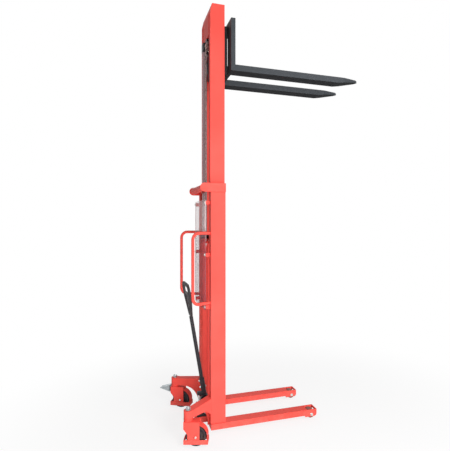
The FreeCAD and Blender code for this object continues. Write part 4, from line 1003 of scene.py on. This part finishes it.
@dataclass
class Casters:
    """Caster wheels, axle heads, king pin nuts and swivel races, and the ridges of the brake pedal."""

    width: float = 0.05
    bore: float = 0.0101
    hub: float = 0.027
    web: float = 0.009
    rim: float = 0.015
    drafts: tuple[float, float] = (0.003, 0.004)
    rim_set: float = 0.002
    shoulder_set: float = 0.001
    shoulder_drop: float = 0.0024
    crown_drop: float = 0.0005
    crown_share: float = 0.55
    fillet: float = 0.0035
    fillet_steps: int = 4
    segments: int = 72
    flank: float = 0.039
    nut_height: float = 0.013
    race: float = 0.0305
    race_height: float = 0.0172
    race_fillet: float = 0.0008
    race_shares: Outline = (
        (0.5, 0.0), (1.0, 0.0), (1.0, 0.44), (0.93, 0.5), (1.0, 0.56), (1.0, 1.0), (0.5, 1.0)
    )
    tread_front: tuple[float, float] = (-0.026, 0.044)
    tread_rear: tuple[float, float] = (-0.106, 0.022)
    cheek_foot: tuple[float, float] = (-0.029, -0.002)
    cheek_side: float = 0.0245
    cheek: float = 0.003
    ridge: float = 0.0016
    ridge_half: float = 0.021
    ridge_sides: int = 8
    ridge_shares: tuple[float, float, int] = (0.1, 0.92, 7)
    cheek_drop: float = 0.001
    cheek_fillet: float = 0.006
    nut: Fastener = Fastener(0.029, 0.0145, 0.017, 0.0025, 0.006)
    axle: Fastener = Fastener(0.0125, 0.005, 0.0085)

    def wheel(self, radius: float) -> Surface:
        """Tyre, rim, web and hub with rounded corners, about Y."""
        half, inner, (hub_draft, rim_draft) = self.width / 2, radius - self.rim, self.drafts
        outline = [(self.bore, half), (self.hub, half), (self.hub + hub_draft, self.web)]
        outline += [(inner - rim_draft, self.web), (inner, half - self.rim_set)]
        outline += [(radius - self.shoulder_drop, half - self.shoulder_set)]
        outline += [(radius - self.crown_drop, half * self.crown_share)]
        return wheel(np.array(outline), [(radius, 0.0)], self.fillet, self.fillet_steps, self.segments)

    def pedal(self) -> Surface:
        """Round bars across the pedal's tread, evenly down its slope, and a folded cheek under each side."""
        share = np.linspace(*self.ridge_shares)[:, None]
        slope = np.array(self.tread_front) * (1 - share) + np.array(self.tread_rear) * share
        bar = sweep(at_sides(self.ridge_half), circle(self.ridge_sides, self.ridge), UP)
        ridges = bar.arrayed(np.insert(slope, 1, 0.0, axis=1))
        outline = np.array([self.tread_front, self.tread_rear, self.cheek_foot]) - (0.0, self.cheek_drop)
        cheek = slab(rounded(outline, self.cheek_fillet, FILLET), self.cheek)
        return joined([ridges, cheek.arrayed(at_sides(self.cheek_side))])

    def build(self, wardrobe: Wardrobe) -> None:
        """Make the wheels, nuts, races and axle heads of both casters, and the pedal's ridges."""
        for side in SIDES:
            hub, pivot = joint_place(f"caster_roll_{side}"), joint_place(f"caster_swivel_{side}")
            turn = stood(JOINTS[f"caster_roll_{side}"]["axis"], UP)
            tyre = wardrobe.piece(
                f"caster_tyre_{side}", self.wheel(hub[2]).put(hub, turn), Slot.WHEEL, f"caster_wheel_{side}"
            )
            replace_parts(tyre, f"caster_wheel_{side}")
            bolts = self.axle.pair(self.flank).put(hub, turn)
            wardrobe.piece(f"caster_axle_heads_{side}", bolts, Slot.ZINC, f"caster_{side}")
            top = corners_of(f"caster_yoke_{side}")[1][2] - self.nut_height
            nut = self.nut.surface().put((pivot[0], pivot[1], top))
            wardrobe.piece(f"king_pin_nut_{side}", nut, Slot.ZINC, f"caster_{side}", DULL_ZINC)
            outline = np.array(self.race_shares) * (self.race, self.race_height)
            race = lathe(rounded(outline, self.race_fillet, FINE_FILLET), RING_SEGMENTS).put(pivot)
            wardrobe.piece(f"swivel_race_{side}", race, Slot.RED, f"caster_{side}")
        turn = stood(-np.array(JOINTS["pedal_tip"]["axis"], float), UP)
        pedal = self.pedal().put(joint_place("pedal_tip"), turn)
        wardrobe.piece("pedal_ridges", pedal, Slot.ZINC, "brake_pedal", DULL_ZINC)


@dataclass
class LoadRollers:
    """Load rollers with rounded treads, their bearings and the heads of their axles."""

    bore: float = 0.0091
    cap: float = 0.019
    dish: float = 0.003
    lip: float = 0.002
    rim_drop: float = 0.001
    crown_drop: float = 0.0004
    crown_share: float = 0.75
    fillet: float = 0.005
    segments: int = 64
    bearing_set: float = 0.001
    bearing_lap: float = 0.0006
    bearing_fillet: float = 0.0012
    leg_half: float = 0.043
    head: Fastener = Fastener(0.0195, 0.0046, 0.0115, 0.0014)

    def build(self, wardrobe: Wardrobe) -> None:
        """Spin both rollers and their bearings, and set the axle heads."""
        heads = []
        for side in SIDES:
            low, high = corners_of(f"load_roller_{side}")
            middle, radius, half = (low + high) / 2, (high[2] - low[2]) / 2, (high[1] - low[1]) / 2
            rim = [(self.cap, half - self.dish), (self.cap + self.lip, half)]
            rim += [(radius - self.rim_drop, half), (radius - self.crown_drop, half * self.crown_share)]
            tread = wheel(np.array(rim), [(radius, 0.0)], self.fillet, FILLET, self.segments).put(middle)
            piece = wardrobe.piece(f"load_tread_{side}", tread, Slot.ROLLER, f"load_roller_{side}")
            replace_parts(piece, f"load_roller_{side}")
            face = half - self.dish + self.bearing_set
            hub = np.array([(self.bore, face), (self.cap + self.bearing_lap, face)])
            bearing = wheel(hub, [], self.bearing_fillet, FINE_FILLET, RING_SEGMENTS).put(middle)
            wardrobe.piece(f"load_bearing_{side}", bearing, Slot.STEEL, f"load_roller_{side}")
            heads.append(self.head.pair(self.leg_half).put(middle))
        wardrobe.piece("load_axle_heads", joined(heads), Slot.ZINC, "chassis")


@dataclass
class PumpUnit:
    """What the pump and its lever carry: plugs, spring, pin head, bolts, ferrule, grip web and sleeve."""

    ear_wall: float = 0.008
    rear_plug: float = 0.042
    side_plug: tuple[float, float] = (0.024, 0.062)
    drain: tuple[float, float] = (0.058, 0.03)
    socket: float = 0.018
    socket_end: float = 0.143
    cross_bolt: float = 0.079
    set_screw: float = 0.126
    screw_set: float = 0.0012
    ferrule: Outline = ((0.0, -0.009), (0.0016, -0.0075), (0.0016, -0.001), (-0.001, 0.0012))
    grip: float = 0.010
    web: float = 0.006
    web_corners: Outline = ((0.0138, 0.624), (0.0294, 0.624), (0.0863, 0.7045), (0.0138, 0.678))
    web_fillet: float = 0.006
    ferrule_segments: int = 40
    sleeve_segments: int = 28
    sleeve_half: float = 0.078
    sleeve: float = 0.0119
    sleeve_end: float = 0.0098
    rib: float = 0.0008
    rib_pitch: float = 0.0044
    rib_steps: int = 6
    cap_height: float = 0.008
    plunger_engaged: float = 0.012
    spring: float = 0.0116
    spring_wire: float = 0.0014
    spring_turns: int = 6
    spring_kept: float = 0.14
    wiper: Outline = ((0.0177, 0.0), (0.0245, 0.0), (0.02303, 0.0035), (0.0177, 0.005))
    wiper_fillet: float = 0.001
    bolt: Fastener = Fastener(0.013, 0.006, 0.0085)
    pin_head: Fastener = Fastener(0.0185, 0.005, 0.0115, 0.0016, 0.003)
    plug: Fastener = Fastener(0.019, 0.009, 0.0125, 0.0016, 0.003)

    def lever(self, wardrobe: Wardrobe) -> None:
        """Bolts through the socket, a set screw, the ferrule at its end and the ribbed sleeve on the grip."""
        pivot = joint_place("lever_swing")
        up = joint_place("trigger_tip") - pivot
        up /= np.linalg.norm(up)
        turn = stood(LEFT, up)
        head, out = self.bolt.surface(), self.socket - self.screw_set
        screws = [(self.cross_bolt, turn[0]), (self.cross_bolt, -turn[0]), (self.set_screw, -turn[0])]
        bolts = [head.put(pivot + up * along + way * out, stood(LEFT, way)) for along, way in screws]
        wardrobe.piece("lever_bolts", joined(bolts), Slot.ZINC, "pump_lever", DULL_ZINC)
        rings = np.insert(np.array(self.ferrule) + (self.socket, self.socket_end), 2, 0.0, axis=1)
        ferrule = stack(rings, HEX, self.ferrule_segments).put(pivot, turn)
        wardrobe.piece("socket_ferrule", ferrule, Slot.BLACK, "pump_lever")
        top = corners_of("grip_loop")[1][2] - self.grip
        count = int(self.sleeve_half * 2 / self.rib_pitch) * self.rib_steps
        along = np.linspace(-self.sleeve_half, self.sleeve_half, count)
        ribs = self.sleeve + self.rib * np.abs(np.sin(math.pi * along / self.rib_pitch))
        ribs[[0, -1]] = self.sleeve_end
        sleeve = stack(np.column_stack([ribs, along, 0 * along]), HEX, self.sleeve_segments)
        at = pivot + up * ((top - pivot[2]) / up[2])
        wardrobe.piece("grip_sleeve", sleeve.put(at, Axis.Y), Slot.GRIP, "pump_lever")
        flanks = [np.array(self.web_corners) * (sign, 1) for sign in SIDES.values()]
        webs = joined([slab(rounded(flank, self.web_fillet, FILLET), self.web) for flank in flanks])
        web = webs.put(ORIGIN, stood((-1, 0, 0), UP)).put(pivot, turn)
        wardrobe.piece("grip_web", web, Slot.GRIP, "pump_lever")

    def build(self, wardrobe: Wardrobe) -> None:
        """Set the plugs and the pin's head, wind the spring on the plunger, seal the rod, dress the lever."""
        low, high = corners_of("pump_block")
        middle, floor = (low + high) / 2, low[2]
        pin_low = corners_of("lever_pin")[0]
        pivot = joint_place("lever_swing")
        plug, (side_x, side_z), (drain_x, drain_z) = self.plug.surface(), self.side_plug, self.drain
        parts = [
            plug.put((low[0], middle[1], floor + self.rear_plug), Axis.BACK),
            plug.put((low[0] + side_x, low[1], floor + side_z), Axis.RIGHT),
            self.bolt.surface().put((low[0] + drain_x, low[1], floor + drain_z), Axis.RIGHT),
            self.pin_head.surface().put((pivot[0], pin_low[1] + self.ear_wall / 2, pivot[2]), Axis.RIGHT),
        ]
        wardrobe.piece("pump_plugs", joined(parts), Slot.ZINC, "chassis")
        stem_low, stem_high = corners_of("pump_plunger")
        axis = (stem_low + stem_high) / 2
        base = stem_low[2] + self.plunger_engaged
        height = stem_high[2] - self.cap_height - base
        spring = coil(self.spring, self.spring_wire, height, self.spring_turns)
        piece = wardrobe.piece("plunger_spring", spring.put((axis[0], axis[1], base)), Slot.ZINC, "chassis")
        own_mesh(piece)
        low, high = corners_of("cylinder_gland")
        centre = (low + high) / 2
        ring = lathe(rounded(np.array(self.wiper), self.wiper_fillet, FINE_FILLET), RING_SEGMENTS)
        seal = ring.put((centre[0], centre[1], high[2]))
        wardrobe.piece("gland_wiper", seal, Slot.GRIP, "chassis")
        self.lever(wardrobe)


@dataclass
class Welds:
    """Weld beads where painted pieces meet."""

    size: float = 0.0034
    lug_size: float = 0.00272
    knee: float = 0.055
    handle: float = 0.0118
    tube: float = 0.011
    tie: float = 0.025

    def chassis(self) -> Surface:
        """Beads at the foot of the mast, round the collar's lugs and tie, and at the arms and handles."""
        low, high = corners_of("outer_upright_right")
        rear, front, outer, tip = low[0], high[0], -low[1], -high[1]
        foot = corners_of("leg_right")[1][2]
        lug_low, lug_high = corners_of("mast_collar")
        tie = lug_low[0] + (lug_high[2] - lug_low[2]) / 2
        level = (lug_low[2] + lug_high[2]) / 2
        arm_top = corners_of("caster_arm_right")[1][2]
        beads = []
        for side, sign in SIDES.items():
            out = sign * outer
            runs = (
                ((rear, out, foot), (front, out, foot), UP, self.size),
                ((front, out, foot), (front, sign * tip, foot), UP, self.size),
                ((rear, out, lug_low[2]), (front, out, lug_low[2]), UP, self.lug_size),
                ((front, out, lug_low[2]), (front, out, lug_high[2]), AHEAD, self.lug_size),
                ((rear, sign * tip, arm_top), (rear, out, arm_top), AHEAD, self.size),
                ((rear, out, foot), (rear, out, arm_top), AHEAD, self.size),
            )
            beads += [bead(*run) for run in runs]
            beads.append(bead_ring((tie, out, level), self.tie, Axis.Y, self.size))
            handle_low, handle_high = corners_of(f"push_handle_{side}")
            root = sign * (min(abs(handle_low[1]), abs(handle_high[1])) + self.tube)
            for height in (handle_low[2] + self.tube, handle_high[2] - self.tube):
                beads.append(bead_ring((rear, root, height), self.handle, Axis.X, self.size))
        return joined(beads)

    def build(self, wardrobe: Wardrobe) -> None:
        """Run the chassis's beads and those of the top beam and the carriage."""
        wardrobe.piece("chassis_welds", self.chassis(), Slot.RED, "chassis")
        low, high = corners_of("top_beam")
        tip = -corners_of("inner_upright_right")[1][1]
        knee = high[2] - self.knee
        inner = [
            bead((low[0], sign * tip, low[2]), (low[0], sign * tip, knee), AHEAD, self.size)
            for sign in SIDES.values()
        ]
        wardrobe.piece("top_beam_welds", joined(inner), Slot.RED, "inner_mast")
        carriage = []
        for bar in ("carriage_bar_upper", "carriage_bar_lower"):
            low, high = corners_of(bar)
            corners = [np.array([high[0], sign * high[1], 0.0]) for sign in SIDES.values()]
            rise = np.array([[0.0, 0.0, low[2]], [0.0, 0.0, high[2]]])
            carriage += [bead(*(corner + rise), AHEAD, self.size) for corner in corners]
        wardrobe.piece("carriage_welds", joined(carriage), Slot.BLACK, "carriage", FORK_PAINT)


# --- light, floor and camera


@dataclass(frozen=True)
class Lamp:
    """A soft oblong lamp: where it hangs, the point that it faces, its width and height, and its watts."""

    at: Place
    target: Place
    size: tuple[float, float]
    power: float


@dataclass
class Studio:
    """A pale floor that fades to white, soft lamps and the camera."""

    behind: float = 0.641
    eye: tuple[float, float] = (-3.198, 1.486)
    aim: tuple[float, float, float] = (0.3205, 0.9472, 0.0)
    lens: float = 34.2
    sensor: float = 36.0
    shift: tuple[float, float] = (-0.0776, -0.0055)
    ambient: float = 0.3
    floor_half: float = 14.0
    floor_points: int = 3
    floor_drop: float = 0.0005
    floor_shade: float = 0.9
    glow_near: float = 0.8
    glow_span: tuple[float, float] = (0.7, 2.4)
    key: Lamp = Lamp((0.45, -3.9, 1.9), (-0.2, 0.0, 1.4), (0.9, 1.6), 100.0)
    high: Lamp = Lamp((2.3, -3.7, 3.5), (0.3, 0.0, 2.2), (2.2, 1.6), 60.0)
    low: Lamp = Lamp((-0.9, -3.6, 0.9), (-0.6, 0.0, 0.3), (1.4, 1.0), 60.0)
    far: Lamp = Lamp((0.6, 3.8, 3.0), (0.0, 0.0, 1.4), (2.4, 2.4), 40.0)

    def floor(self) -> None:
        """A wide floor: plain near the stacker, where it takes its shadow, and white to the eye far off."""
        grid = np.linspace(-self.floor_half, self.floor_half, self.floor_points)
        x, y = np.meshgrid(grid, grid, indexing="ij")
        points = np.stack([x.ravel(), y.ravel(), np.full(x.size, -self.floor_drop)], 1)
        faces = grid_faces(self.floor_points, self.floor_points, False, False)
        mesh = bpy.data.meshes.new("floor")
        mesh.from_pydata(points.tolist(), [], faces[:, ::-1].tolist())
        thing = bpy.data.objects.new("floor", mesh)
        bpy.context.scene.collection.objects.link(thing)
        g = Graph(bpy.data.materials.new("pale_floor"))
        distance = g.node("ShaderNodeVectorMath", {"operation": "LENGTH"}, {0: g.place()})["Value"]
        shade = (self.floor_shade, self.floor_shade, self.floor_shade, 1.0)
        matt = g.node("ShaderNodeBsdfDiffuse", {}, {"Color": shade})["BSDF"]
        glow = g.node("ShaderNodeEmission", {}, {"Color": WHITE, "Strength": 1.0})["Emission"]
        faded = distance.between(*self.glow_span) * (1.0 - self.glow_near) + self.glow_near
        share = g.seen() * faded
        both = g.node("ShaderNodeMixShader", {}, {"Fac": share, 1: matt, 2: glow})["Shader"]
        g.node("ShaderNodeOutputMaterial", {}, {"Surface": both})
        mesh.materials.append(g.owner)

    def sky(self) -> None:
        """White to the eye and in reflections, and a plain even light on everything."""
        g = Graph(bpy.data.worlds.new("studio"))
        strength = g.seen() * (1.0 - self.ambient) + self.ambient
        back = g.node("ShaderNodeBackground", {}, {"Color": WHITE, "Strength": strength})["Background"]
        g.node("ShaderNodeOutputWorld", {}, {"Surface": back})
        bpy.context.scene.world = g.owner

    @staticmethod
    def hang(name: str, lamp: Lamp) -> None:
        """Hang a lamp by that name, turned to its target."""
        data = bpy.data.lights.new(name, "AREA")
        data.shape = "RECTANGLE"
        data.size, data.size_y = lamp.size
        data.energy = lamp.power
        thing = bpy.data.objects.new(name, data)
        thing.location = lamp.at
        thing.rotation_euler = (Vector(lamp.target) - Vector(lamp.at)).to_track_quat("-Z", "Y").to_euler()
        bpy.context.scene.collection.objects.link(thing)

    def camera(self) -> None:
        """The camera at the photograph's place and angle, behind and to the right of the mast."""
        data = bpy.data.cameras.new("camera")
        data.sensor_width = self.sensor
        data.lens = self.lens
        data.shift_x, data.shift_y = self.shift
        thing = bpy.data.objects.new("camera", data)
        thing.location = (corners_of("outer_upright_right")[0][0] - self.behind, *self.eye)
        thing.rotation_euler = Vector(self.aim).to_track_quat("-Z", "Y").to_euler()
        bpy.context.scene.collection.objects.link(thing)
        bpy.context.scene.camera = thing

    def build(self) -> None:
        """Lay the floor, light the scene and set the camera."""
        bpy.context.scene.view_settings.view_transform = "Standard"
        self.floor()
        self.sky()
        for name in ("key", "high", "low", "far"):
            self.hang(name, getattr(self, name))
        self.camera()


def main() -> None:
    """Dress the nodes, build each sub-assembly in order, and set up the studio."""
    logging.basicConfig(level=logging.INFO, format="%(message)s")
    wardrobe = Wardrobe()
    wardrobe.dress_nodes()
    for assembly in (MeshGuard(), LiftChains(), Casters(), LoadRollers(), PumpUnit(), Welds()):
        assembly.build(wardrobe)
    Studio().build()


if __name__ == "__main__":
    main()
